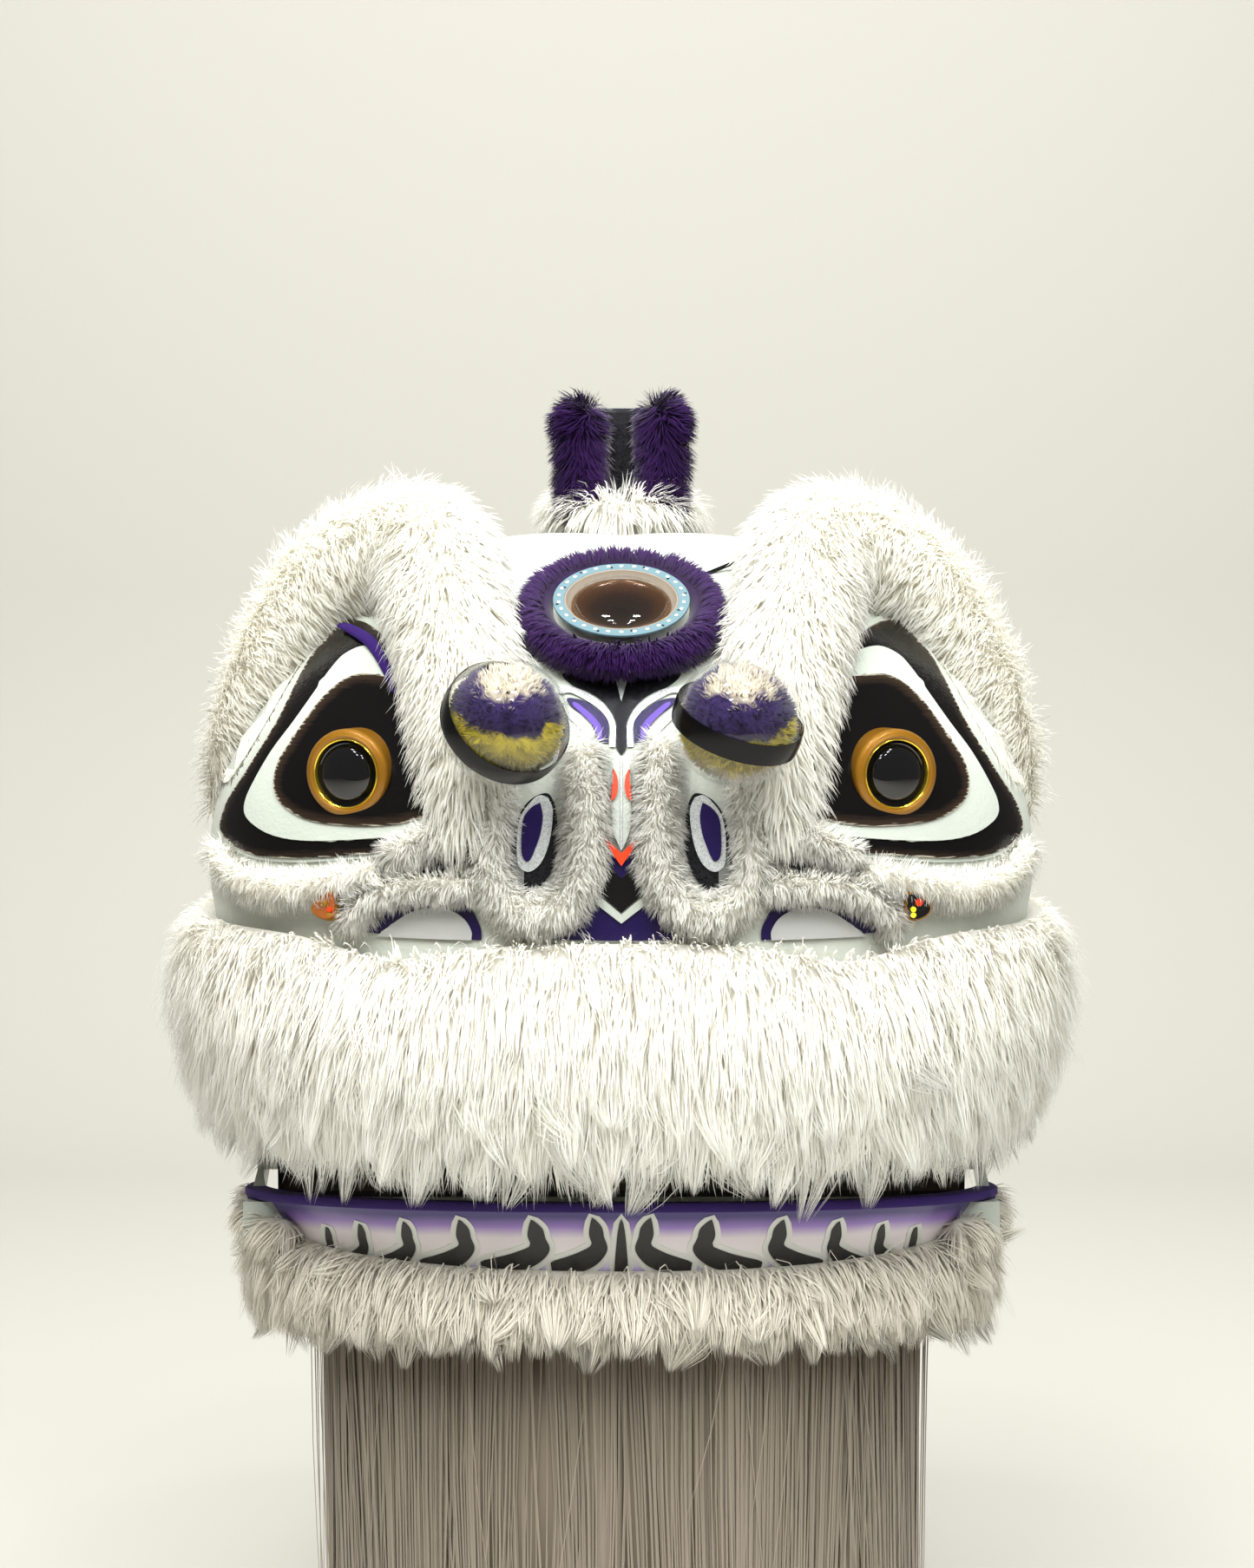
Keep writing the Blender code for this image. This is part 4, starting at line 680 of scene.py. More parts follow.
# The skull's skin: a smooth shell that follows the same surface as the frame's
skin = {"segments": 96, "rings": 56, "inside": -0.003}


def makeSkin():
    bm = bmesh.new()
    bmesh.ops.create_uvsphere(bm, u_segments=skin["segments"], v_segments=skin["rings"], radius=1.0)
    for vert in bm.verts:
        d = np.array(vert.co.normalized())
        vert.co = shellCentre + d * shellRadius(d)
    foot, mouthTop, mouthBack = shell["footZ"], shell["mouthTopZ"], shell["mouthBackY"]
    for place, normal in (((0, 0, foot), (0, 0, 1)), ((0, 0, mouthTop), (0, 0, 1)),
                          ((0, mouthBack, 0), (0, 1, 0))):
        bmesh.ops.bisect_plane(bm, geom=[*bm.verts, *bm.edges, *bm.faces], dist=1e-6, plane_co=place,
                               plane_no=normal, clear_inner=place[2] == foot)
    middles = [(f, f.calc_center_median()) for f in bm.faces]
    gone = [f for f, middle in middles if middle.z < mouthTop and middle.y < mouthBack]
    bmesh.ops.delete(bm, geom=gone, context="FACES")
    bmesh.ops.recalc_face_normals(bm, faces=bm.faces)
    bmesh.ops.solidify(bm, geom=bm.faces, thickness=-skin["inside"])
    addObject("skullSkin", bm, skullPaint, ["skull_shell"])


makeSkin()
print("skull made")

# Painted patches, cut from flat outlines and laid on the shell


def outlineCurve(points, sharp=(), steps=5):
    p = np.array(points, float)
    count = len(p)
    if not sharp:
        ring = np.vstack([p, p[:1]])
        padded = np.vstack([p[-1:], ring, p[1:2]])
        made = []
        for four in zip(padded, padded[1:], padded[2:], padded[3:]):
            made += [blended(*four, u) for u in np.linspace(0, 1, steps, endpoint=False)]
        return np.array(made)
    made = []
    for i, start in enumerate(sharp):
        end = sharp[(i + 1) % len(sharp)]
        run = [p[k % count] for k in range(start, (end if end > start else end + count) + 1)]
        curve = smoothPath(run, steps * (len(run) - 1)) if len(run) > 2 else np.array(run)
        made.append(curve[:-1])
    return np.vstack(made)


def cutSheet(outline, cell):
    # a flat sheet in x and z with the outline's edge, cut into cells so that it can bend
    bm = bmesh.new()
    edge = [bm.verts.new((x, 0.0, z)) for x, z in outline]
    lines = [bm.edges.new(pair) for pair in zip(edge, edge[1:] + edge[:1])]
    bmesh.ops.edgeloop_fill(bm, edges=lines)
    bmesh.ops.triangulate(bm, faces=bm.faces, ngon_method="EAR_CLIP")
    for axis in (0, 2):
        normal = Vector((1, 0, 0)) if axis == 0 else Vector((0, 0, 1))
        values = [v.co[axis] for v in bm.verts]
        for k in range(math.floor(min(values) / cell) + 1, math.ceil(max(values) / cell)):
            bmesh.ops.bisect_plane(bm, geom=[*bm.verts, *bm.edges, *bm.faces], dist=1e-6,
                                   plane_co=normal * k * cell, plane_no=normal)
    return bm


def thicken(bm, thick):
    # gives a sheet its thickness behind its face, point by point, which keeps thin cells in place
    bm.normal_update()
    away = [v.normal.copy() for v in bm.verts]
    layer = bm.verts.layers.int.new("first")
    for i, vert in enumerate(bm.verts):
        vert[layer] = i
    made = bmesh.ops.extrude_face_region(bm, geom=bm.faces[:], use_keep_orig=True)["geom"]
    for vert in made:
        if isinstance(vert, bmesh.types.BMVert):
            vert.co -= away[vert[layer]] * thick
    bmesh.ops.recalc_face_normals(bm, faces=bm.faces)


def layPatch(name, outline, lift, material, nodes=(), thick=0.0008, cell=0.006,
             placer=onFace, body="head"):
    bm = cutSheet(outline, cell)
    p = np.array([v.co for v in bm.verts])
    laid = placer(p[:, 0], p[:, 2], lift)
    # how far each point is from the outline, for paints that thin out at their edge
    edge = np.array(outline)
    gap = np.full(len(p), 1.0)
    for a, b in zip(edge, np.roll(edge, -1, axis=0)):
        span = b - a
        u = np.clip(((p[:, [0, 2]] - a) @ span) / max(span @ span, 1e-12), 0, 1)
        gap = np.minimum(gap, np.linalg.norm(p[:, [0, 2]] - (a + u[:, None] * span), axis=1))
    layer = bm.verts.layers.float.new("edge")
    for vert, spot, value in zip(bm.verts, laid, gap):
        vert.co = spot
        vert[layer] = value
    bmesh.ops.recalc_face_normals(bm, faces=bm.faces)
    out = sum((f.normal * f.calc_area() for f in bm.faces), Vector())
    if out.y > 0:
        bmesh.ops.reverse_faces(bm, faces=bm.faces)
    thicken(bm, thick)
    addObject(name, bm, material, nodes, body)


def sideCurve(points, side, *sharp):
    return outlineCurve([(x * side, z) for x, z in points], sharp)


# Eyes: a black field with a white band in it and an airbrushed black inner field
eye = {
    "field": ((0.197, 0.4056), (0.207, 0.392), (0.217, 0.3807), (0.2256, 0.3643), (0.2389, 0.335),
              (0.2607, 0.2999), (0.2735, 0.2807), (0.279, 0.2656), (0.278, 0.2585), (0.2701, 0.2518),
              (0.2526, 0.2466), (0.2342, 0.246), (0.2129, 0.2475), (0.1905, 0.25), (0.165, 0.253),
              (0.138, 0.258), (0.128, 0.272), (0.128, 0.31), (0.138, 0.352), (0.158, 0.388),
              (0.176, 0.402)),
    "band": ((0.1733, 0.3878), (0.19, 0.3829), (0.2007, 0.3721), (0.2119, 0.3557), (0.2257, 0.336),
             (0.2407, 0.316), (0.2533, 0.2943), (0.2589, 0.2809), (0.2575, 0.2714), (0.2454, 0.2636),
             (0.2308, 0.2599), (0.2131, 0.259), (0.1906, 0.2605), (0.1703, 0.2625), (0.145, 0.266),
             (0.13, 0.272), (0.124, 0.3), (0.126, 0.345), (0.15, 0.378)),
    "inner": ((0.162, 0.3687), (0.178, 0.3698), (0.1918, 0.3646), (0.2052, 0.3529), (0.2166, 0.3381),
              (0.2264, 0.3233), (0.2346, 0.3101), (0.2374, 0.2956), (0.2333, 0.2847), (0.2204, 0.2759),
              (0.2028, 0.2715), (0.1772, 0.2705), (0.16, 0.2715), (0.142, 0.2745), (0.127, 0.282),
              (0.121, 0.305), (0.123, 0.345), (0.142, 0.366)),
    "place": (0.185, 0.305), "proud": 0.0134, "turn": 20.0, "sunk": 0.03,
    "ringRadius": 0.03, "bore": 0.0222, "domeRadius": 0.0217,
}


def eyeFieldMaterial(name, brown, reach):
    # black lacquer brushed out thin at its edge, where the brown ground shows through in fine streaks
    mat, shader = newMaterial(name, Roughness=0.26, Coat_Weight=0.15, Coat_Roughness=0.1,
                              Specular_IOR_Level=0.16)
    edge = addNode(mat, "Attribute", {"attribute_name": "edge"}).outputs["Fac"]
    place = addNode(mat, "TexCoord").outputs["Object"]
    turned = addNode(mat, "Mapping", None, {"Vector": place, "Rotation": (0.0, 0.9, 0.0),
                                            "Scale": (60.0, 60.0, 900.0)})
    streak = addNode(mat, "TexNoise", None, {"Vector": turned.outputs[0], "Scale": 1.0, "Detail": 3.0})
    shift = addNode(mat, "Math", {"operation": "MULTIPLY_ADD"},
                    {0: streak.outputs["Fac"], 1: 0.006, 2: edge})
    depth = addNode(mat, "MapRange", None, {"Value": shift.outputs[0], "From Min": 0.003,
                                            "From Max": reach})
    addNode(mat, "ValToRGB", None, {"Fac": depth.outputs["Result"]},
            ((0.0, "#8d8779"), (0.12, brown), (1.0, "#090808")), shader.inputs["Base Color"])
    crackle = addNode(mat, "TexVoronoi", {"feature": "DISTANCE_TO_EDGE"}, {"Vector": place, "Scale": 260.0})
    addNode(mat, "Bump", None, {"Height": crackle.outputs["Distance"], "Distance": 0.0009,
                                "Strength": 0.35},
            to=shader.inputs["Normal"])
    return mat


eyeInnerPaint = eyeFieldMaterial("airbrushedBlackLacquer", "#2a2018", 0.01)
eyeOuterPaint = eyeFieldMaterial("brushedBlackLacquer", "#231b15", 0.008)


def turnedBm(profile, segments):
    # a profile of radius and height, spun once round z
    bm = bmesh.new()
    edge = [bm.verts.new((r, 0.0, z)) for r, z in profile]
    lines = [bm.edges.new(pair) for pair in zip(edge, edge[1:])]
    bmesh.ops.spin(bm, geom=[*edge, *lines], cent=(0, 0, 0), axis=(0, 0, 1), angle=math.tau, steps=segments,
                   use_merge=True)
    bmesh.ops.remove_doubles(bm, verts=bm.verts, dist=1e-6)
    bmesh.ops.dissolve_degenerate(bm, edges=bm.edges, dist=1e-7)
    bmesh.ops.recalc_face_normals(bm, faces=bm.faces)
    return bm


def turnedPiece(name, profile, segments, place, material, nodes=(), wall=0.0):
    bm = turnedBm(profile, segments)
    if wall:
        bmesh.ops.solidify(bm, geom=bm.faces, thickness=wall)
    bmesh.ops.transform(bm, matrix=place, verts=bm.verts)
    addObject(name, bm, material, nodes)


def frameAt(origin, way):
    return Matrix.Translation(Vector(origin)) @ Vector(way).to_track_quat("Z", "Y").to_matrix().to_4x4()


def arc(centreR, centreZ, radius, start, end, steps):
    turns = np.radians(np.linspace(start, end, steps))
    return [(centreR + radius * math.cos(a), centreZ + radius * math.sin(a)) for a in turns]


def makeEye(word, side):
    field = sideCurve(eye["field"], side, 0)
    layPatch(f"eyeField.{word}", field, 0.004, eyeOuterPaint, nodes=[f"eye_plate_{word}"])
    edge = np.array(field)
    middle = edge.mean(axis=0)
    wide = middle + (edge - middle) * (1 + 0.0032 / np.linalg.norm(edge - middle, axis=1, keepdims=True))
    layPatch(f"eyeEdge.{word}", wide, 0.0022, whitePaint, thick=0.0016)
    layPatch(f"eyeBand.{word}", sideCurve(eye["band"], side), 0.0054, whitePaint,
             thick=0.0012)
    layPatch(f"eyeInner.{word}", sideCurve(eye["inner"], side), 0.0068, eyeInnerPaint, thick=0.001)
    turn = math.radians(eye["turn"]) * side
    seat = onFace(eye["place"][0] * side, eye["place"][1]) - np.array([0.0, eye["proud"] + 0.006, 0.0])
    place = frameAt(seat, (math.sin(turn), -math.cos(turn), 0.0))
    outer, bore = eye["ringRadius"], eye["bore"]
    ring = [(outer - 0.0005, -eye["sunk"]), (outer, -0.006), *arc(outer - 0.0045, -0.005, 0.0045, 5, 80, 6),
            *arc(bore + 0.004, -0.0038, 0.0038, 100, 150, 4), (bore + 0.0006, -0.003)]
    turnedPiece(f"eyeRing.{word}", ring, 96, place, ringGold, [f"eye_ring_{word}"])
    lip = [(bore + 0.0012, -0.004), (bore + 0.0014, -0.0012), (bore + 0.0008, -0.0006),
           (bore + 0.0001, -0.0012), (bore, -0.006)]
    turnedPiece(f"eyeRingLip.{word}", lip, 96, place, brightGold)
    ball = eye["domeRadius"]
    dome = [(ball, -eye["sunk"]), (ball, -0.005), (ball - 0.0012, -0.0036), (ball - 0.0022, -0.004)]
    dome += [(ball * 0.86 * math.cos(a), -0.0034 + 0.0064 * math.sin(a))
             for a in np.linspace(0.05, math.pi / 2, 10)]
    turnedPiece(f"eyeDome.{word}", dome, 96, place, blackDome, [f"eyeball_{word}"])


bothSides(makeEye)

# Short fur on the shell between the brow's outer limb and the eye
fringe = {"outline": ((0.197, 0.416), (0.208, 0.398), (0.22, 0.3835), (0.231, 0.366), (0.2455, 0.338),
                      (0.2655, 0.305), (0.279, 0.29), (0.295, 0.3), (0.285, 0.35), (0.255, 0.4),
                      (0.22, 0.425)),
          "count": 2600, "length": 0.017, "width": 0.0012, "lift": 0.3, "droop": 0.12, "frizz": 0.22,
          "bend": 0.2, "clump": 0.3, "clumpSize": 14, "segments": 3}


def makeFringe(word, side):
    pelt = cutSheet(sideCurve(fringe["outline"], side), 0.01)
    for vert in pelt.verts:
        vert.co = onFace(vert.co.x, vert.co.z, 0.0012)

    def fringeFlow(p, n):
        return np.tile([-side * 0.55, -0.2, -0.8], (len(p), 1))

    furPiece(f"browFringe.{word}", pelt, fringe, 55 + side, fringeFlow, browFurFinish, [])


bothSides(makeFringe)

# A felt edge under the left brow
lidEdge = {"path": ((0.1975, 0.4005, 0.0022), (0.188, 0.3985, 0.0036), (0.172, 0.39, 0.0042),
                    (0.16, 0.374, 0.0036), (0.154, 0.36, 0.0026)),
           "lift": 0.008}


def makeLidEdge():
    rows = smoothPath(lidEdge["path"], 24)
    path = onFace(-rows[:, 0], rows[:, 1], lidEdge["lift"])
    bm = loft(tubeRings(path, rows[:, 2], 12, shellCentre, flat=0.45))
    addObject("lidEdge", bm, violetFelt, ["lid_edge_left"])


makeLidEdge()
print("eyes made")

# Nose bridge and the motifs painted round it, as x and z outlines; one half where they are mirrored
bridge = {
    "ground": ((0.0, 0.372), (0.022, 0.37), (0.04, 0.366), (0.044, 0.352), (0.03, 0.338), (0.016, 0.322),
               (0.013, 0.3), (0.013, 0.262), (0.018, 0.246), (0.03, 0.232), (0.05, 0.222), (0.06, 0.205),
               (0.05, 0.197), (0.0, 0.197)),
    "spear": ((0.0, 0.3185), (0.0035, 0.324), (0.0032, 0.337), (0.006, 0.345), (0.012, 0.353),
              (0.022, 0.3595), (0.033, 0.364), (0.038, 0.372), (0.0, 0.372)),
    "silver": ((0.004, 0.324), (0.0038, 0.337), (0.0066, 0.3445), (0.0128, 0.3522), (0.0225, 0.3586),
               (0.034, 0.363), (0.042, 0.362), (0.041, 0.3585), (0.034, 0.359), (0.0245, 0.3545),
               (0.0155, 0.3487), (0.0095, 0.342), (0.0076, 0.336), (0.008, 0.324)),
    "leaf": ((0.0086, 0.326), (0.0088, 0.34), (0.016, 0.3478), (0.0252, 0.3536), (0.036, 0.3555),
             (0.034, 0.3505), (0.0236, 0.343), (0.0188, 0.336), (0.0165, 0.328)),
    "leafLine": ((0.0125, 0.328), (0.0135, 0.337), (0.0195, 0.3445), (0.03, 0.3525), (0.0325, 0.351),
                 (0.0228, 0.342), (0.0172, 0.335), (0.016, 0.328)),
    "tooth": ((-0.0045, 0.37), (0.0045, 0.37), (0.0, 0.3533)),
    "ridge": ((0.0, 0.3185), (0.0056, 0.312), (0.0062, 0.29), (0.006, 0.272), (0.0, 0.2565)),
    "ridgeLine": ((0.0, 0.318), (0.0006, 0.31), (0.0006, 0.262), (0.0, 0.258)),
    "stroke": ((0.0052, 0.3105), (0.0028, 0.3055), (0.0022, 0.2985), (0.0036, 0.2925), (0.0068, 0.2895),
               (0.0062, 0.2965), (0.0056, 0.303)),
    "orangeV": ((0.0, 0.2475), (0.015, 0.2685), (0.0085, 0.264), (0.0, 0.256)),
    "violetV": ((0.0, 0.2386), (0.006, 0.246), (0.015, 0.262), (0.016, 0.269), (0.0, 0.2473)),
    "diamond": ((0.0, 0.2165), (0.015, 0.2295), (0.0165, 0.24), (0.013, 0.25), (0.0, 0.2387)),
    "silverV": ((0.0, 0.2095), (0.023, 0.2275), (0.0185, 0.231), (0.0, 0.2155)),
    "panel": ((0.0, 0.2093), (0.0235, 0.2275), (0.04, 0.224), (0.05, 0.212), (0.046, 0.199), (0.0, 0.198)),
}


def wholeOutline(half, sharp, steps=4):
    # a half outline from top to bottom on the centre line, closed with its mirror image
    right = smoothPath(half, steps * (len(half) - 1)) if not sharp else np.array(half)
    left = right[::-1] * np.array([-1.0, 1.0])
    return np.vstack([right, left[1:-1]])


def makeBridge():
    layPatch("bridgeGround", wholeOutline(bridge["ground"], False), 0.0016, whitePaint,
             ["nose_bridge"])
    layPatch("bridgeSpear", wholeOutline(bridge["spear"], False), 0.003, blackGlitter)
    for word, side in sides:
        for part, corner, lift, finish, slotName in (
                ("Silver", 13, 0.0036, silverGlitter, "silver_paint"),
                ("Leaf", 8, 0.003, violetPaint, "purple_fur"),
                ("LeafLine", 7, 0.0036, lilacPaint, "purple_fur"),
                ("Stroke", 4, 0.0086, orangePaint, "gold_paint")):
            curve = sideCurve(bridge[part[0].lower() + part[1:]], side, 0, corner)
            layPatch(f"bridge{part}.{word}", curve, lift, finish, cell=0.004)
    layPatch("bridgeTooth", np.array(bridge["tooth"]), 0.0046, silverGlitter, cell=0.004)
    for part, sharp, lift, finish, slotName, cell, thick in (
            ("Ridge", False, 0.0062, whitePaint, "silver_paint", 0.003, 0.004),
            ("RidgeLine", False, 0.0076, silverGlitter, "silver_paint", 0.003, 0.0008),
            ("Panel", True, 0.0028, violetPaint, "purple_fur", 0.006, 0.0008),
            ("Diamond", True, 0.0034, blackLacquer, "black_paint", 0.004, 0.0008),
            ("VioletV", True, 0.0046, violetPaint, "purple_fur", 0.004, 0.0008),
            ("OrangeV", True, 0.009, orangePaint, "gold_paint", 0.004, 0.0008),
            ("SilverV", True, 0.0046, whitePaint, "silver_paint", 0.004, 0.0008)):
        curve = wholeOutline(bridge[part[0].lower() + part[1:]], sharp)
        layPatch(f"bridge{part}", curve, lift, finish, thick=thick, cell=cell)


makeBridge()

# Nostrils: a dark cup with a silver-edged violet leaf, and a grey facet on the cup that is painted light on
# the lit side face of the nose wing
nostril = {
    "cup": ((0.0596, 0.2904), (0.0677, 0.2794), (0.072, 0.262), (0.0725, 0.2441), (0.069, 0.2335),
            (0.0643, 0.229), (0.0557, 0.232), (0.047, 0.2418), (0.0433, 0.2528), (0.0409, 0.2649),
            (0.0422, 0.2747), (0.0434, 0.2843), (0.0485, 0.294)),
    "facet": ((0.069, 0.2335), (0.0643, 0.229), (0.064, 0.244), (0.07, 0.256), (0.0725, 0.2441)),
    "silver": ((0.0485, 0.2916), (0.0453, 0.2843), (0.0459, 0.2722), (0.0483, 0.2601), (0.0532, 0.2491),
               (0.0606, 0.2436), (0.0672, 0.2466), (0.0688, 0.2539), (0.0688, 0.266), (0.0664, 0.2794),
               (0.0596, 0.2891), (0.054, 0.293)),
    "leaf": ((0.0536, 0.2885), (0.0596, 0.285), (0.0645, 0.2782), (0.0658, 0.2661), (0.0652, 0.2539),
             (0.061, 0.2505), (0.0566, 0.259), (0.0533, 0.2686), (0.0518, 0.2795)),
}


def makeNostril(word, side):
    for part, corners, lift, finish, slotName, nodes, thick in (
            ("Cup", (), 0.003, blackGlitter, "black_paint", [f"nostril_{word}"], 0.0008),
            ("Facet", (0, 1, 2, 3), 0.0042, facetLightPaint, "black_paint", (), 0.0008),
            ("Silver", (0,), 0.0052, silverGlitter, "silver_paint", (), 0.0016),
            ("Leaf", (0,), 0.0062, violetPaint, "purple_fur", (), 0.0008)):
        curve = sideCurve(nostril[part.lower()], side, *corners)
        layPatch(f"nostril{part}.{word}", curve, lift, finish, nodes, thick, 0.004)


bothSides(makeNostril)

# Cheeks: dark glitter between the rolls, violet arches and pale scallops above the lip, stones at the corners
cheek = {
    "sliver": ((0.15, 0.245), (0.136, 0.253), (0.1221, 0.256), (0.1, 0.259), (0.096, 0.252),
               (0.1074, 0.248), (0.1237, 0.2415), (0.1434, 0.24)),
    "arch": ((0.172, 0.2), (0.1633, 0.2107), (0.1483, 0.2187), (0.1318, 0.2241), (0.1138, 0.2247),
             (0.1, 0.2186), (0.093, 0.206), (0.0925, 0.198)),
    "scallop": ((0.163, 0.198), (0.1533, 0.206), (0.14, 0.215), (0.1269, 0.2182), (0.1138, 0.2175),
                (0.104, 0.212), (0.099, 0.204), (0.099, 0.198)),
    "stone": ((0.1895, 0.2275), (0.2, 0.226), (0.2085, 0.216), (0.203, 0.209), (0.1905, 0.2085)),
    "dots": ((0.1985, 0.2205, 0.0026), (0.1945, 0.216, 0.0018), (0.1945, 0.2122, 0.0018)),
}


def disc(x, z, radius):
    turns = around(14)
    return np.column_stack([x + radius * np.cos(turns), z + radius * np.sin(turns)])


def makeCheek(word, side):
    layPatch(f"cheekSliver.{word}", sideCurve(cheek["sliver"], side), 0.007, blackGlitter)
    layPatch(f"cheekArch.{word}", sideCurve(cheek["arch"], side, 0, 7), 0.0016, violetPaint)
    layPatch(f"cheekScallop.{word}", sideCurve(cheek["scallop"], side, 0, 7), 0.003, silverPaint)
    edge = sideCurve(cheek["stone"], side)
    middle = edge.mean(axis=0)
    edge = middle + (edge - middle) * 0.78
    layPatch(f"mouthStoneEdge.{word}", middle + (edge - middle) * 1.16, 0.015, goldPaint,
             [f"mouth_ornament_{word}"], 0.01, 0.004)
    layPatch(f"mouthStone.{word}", edge, 0.0166, blackLacquer if side > 0 else amberPaint, thick=0.0016,
             cell=0.004)
    finishes = (orangePaint, yellowPaint, yellowPaint) if side > 0 else (goldPaint, orangePaint, goldPaint)
    for i, (x, z, radius) in enumerate(cheek["dots"]):
        layPatch(f"mouthDot.{word}.{i}", disc(x * side, z, radius), 0.0176, finishes[i], (),
                 0.001, 0.004)


bothSides(makeCheek)
print("paint made")

# Forehead mirror, in its own frame: light ring, dish, clear dome and fur collar
mirror = {"place": (0.0, 0.419), "proud": 0.0175, "elevation": 60.0, "outer": 0.0468, "bore": 0.0392,
          "board": 0.0016, "dishDepth": 0.0085, "lensRise": 0.011, "chips": 30,
          "chipSize": (0.0025, 0.0019, 0.0007), "resistors": 12}
tilt = math.radians(mirror["elevation"])
mirrorSeat = onFace(*mirror["place"]) - np.array([0.0, mirror["proud"], 0.0])
mirrorFrame = frameAt(mirrorSeat, (0.0, -math.cos(tilt), math.sin(tilt)))


def smallBox(size, matrix, bevel):
    bm = bmesh.new()
    bmesh.ops.create_cube(bm, size=1.0)
    bmesh.ops.scale(bm, vec=size, verts=bm.verts)
    bmesh.ops.bevel(bm, geom=bm.edges[:], offset=bevel, affect="EDGES", segments=1, profile=0.5,
                    material=-1)
    bmesh.ops.transform(bm, matrix=matrix, verts=bm.verts)
    return bm


def joined(parts):
    whole = bmesh.new()
    for part in parts:
        mesh = bpy.data.meshes.new("part")
        part.to_mesh(mesh)
        part.free()
        whole.from_mesh(mesh)
        bpy.data.meshes.remove(mesh)
    return whole


def thinAcrylic(name, haze):
    # thin clear moulded acrylic: no colour of its own, only gloss that grows towards the edge
    mat, shader = newMaterial(name)
    clear = addNode(mat, "BsdfTransparent", None, {"Color": (0.97, 0.975, 0.97, 1.0)})
    gloss = addNode(mat, "BsdfGlossy", None, {"Color": (1.0, 1.0, 1.0, 1.0), "Roughness": haze})
    facing = addNode(mat, "LayerWeight", None, {"Blend": 0.5})
    steep = addNode(mat, "Math", {"operation": "POWER"}, {0: facing.outputs["Facing"], 1: 4.0})
    edge = addNode(mat, "Math", {"operation": "MULTIPLY_ADD"}, {0: steep.outputs[0], 1: 0.35, 2: 0.03})
    addNode(mat, "MixShader", None, {0: edge.outputs[0], 1: clear.outputs[0], 2: gloss.outputs[0]},
            to=mat.node_tree.nodes["Material Output"].inputs["Surface"])
    mat.node_tree.nodes.remove(shader)
    return mat


clearAcrylic = thinAcrylic("clearAcrylicLens", 0.03)
ballAcrylic = thinAcrylic("clearAcrylicBall", 0.02)


def amberMaterial():
    # a bowl lacquered brown over metal: amber at the rim, dark at the bottom
    mat, shader = newMaterial("amberLacquerOnMetal", Roughness=0.22, Metallic=0.5, Coat_Weight=0.5)
    along = addNode(mat, "Attribute", {"attribute_name": "along"}).outputs["Fac"]
    addNode(mat, "ValToRGB", None, {"Fac": along},
            ((0.0, "#120b07"), (0.6, "#26150b"), (0.9, "#472a12"), (1.0, "#6b4720")),
            shader.inputs["Base Color"])
    return mat


def makeMirror():
    outer, bore, board = mirror["outer"], mirror["bore"], mirror["board"]
    ring = [(bore, 0.0), (outer, 0.0), (outer, board - 0.0003), (outer - 0.0003, board),
            (bore + 0.0003, board), (bore, board - 0.0003), (bore, 0.0)]
    turnedPiece("lightRing", ring, 120, mirrorFrame, boardBlue, ["light_ring"])
    middle = (outer + bore) / 2
    chips, resistors = [], []
    for i in range(mirror["chips"]):
        turn = Matrix.Rotation(math.tau * i / mirror["chips"], 4, "Z")
        place = mirrorFrame @ turn @ Matrix.Translation((0.0, middle, board + 0.0003))
        chips.append(smallBox(mirror["chipSize"], place, 0.00025))
    for i in range(mirror["resistors"]):
        turn = Matrix.Rotation(math.tau * (i + 0.31) / mirror["resistors"], 4, "Z")
        shift = 0.0014 * (1 if i % 2 else -1)
        place = mirrorFrame @ turn @ Matrix.Translation((0.0, middle + shift, board + 0.0002))
        resistors.append(smallBox((0.0013, 0.0018, 0.0005), place, 0.00015))
    addObject("lightChips", joined(chips), chipWhite)
    addObject("lightResistors", joined(resistors), chipBlack)
    # an inner wall of pale plastic steps down to the dish
    wall = [(bore, 0.0012), (bore - 0.0004, 0.0016), (bore - 0.0012, 0.0014), (bore - 0.0034, -0.003),
            (bore - 0.005, -0.004), (bore - 0.005, -0.005)]
    turnedPiece("mirrorRim", wall, 120, mirrorFrame, silverRim)
    reach = bore - 0.005
    dish = [(reach * math.sin(a), -0.003 - mirror["dishDepth"] * 0.75 * math.cos(a))
            for a in np.linspace(0.0, math.pi / 2, 16)]
    bm = turnedBm(dish, 96)
    layer = bm.verts.layers.float.new("along")
    for vert in bm.verts:
        vert[layer] = min(1.0, math.hypot(vert.co.x, vert.co.y) / reach)
    bmesh.ops.solidify(bm, geom=bm.faces, thickness=0.001)
    bmesh.ops.transform(bm, matrix=mirrorFrame, verts=bm.verts)
    addObject("mirrorDish", bm, amberMaterial(), ["mirror_dish"])
    lens = [(reach * math.sin(a), -0.0024 + mirror["lensRise"] * math.cos(a))
            for a in np.linspace(0.0, math.pi / 2, 20)]
    turnedPiece("mirrorLens", lens, 96, mirrorFrame, clearAcrylic, ["mirror_lens"],
                wall=0.0009)


makeMirror()

collar = {"radius": 0.0535, "pile": 0.019, "drop": 0.009, "count": 9000, "length": 0.0155, "width": 0.0013,
          "lift": 0.42, "droop": 0.1, "frizz": 0.2, "bend": 0.22, "clump": 0.4, "clumpSize": 14,
          "segments": 3}


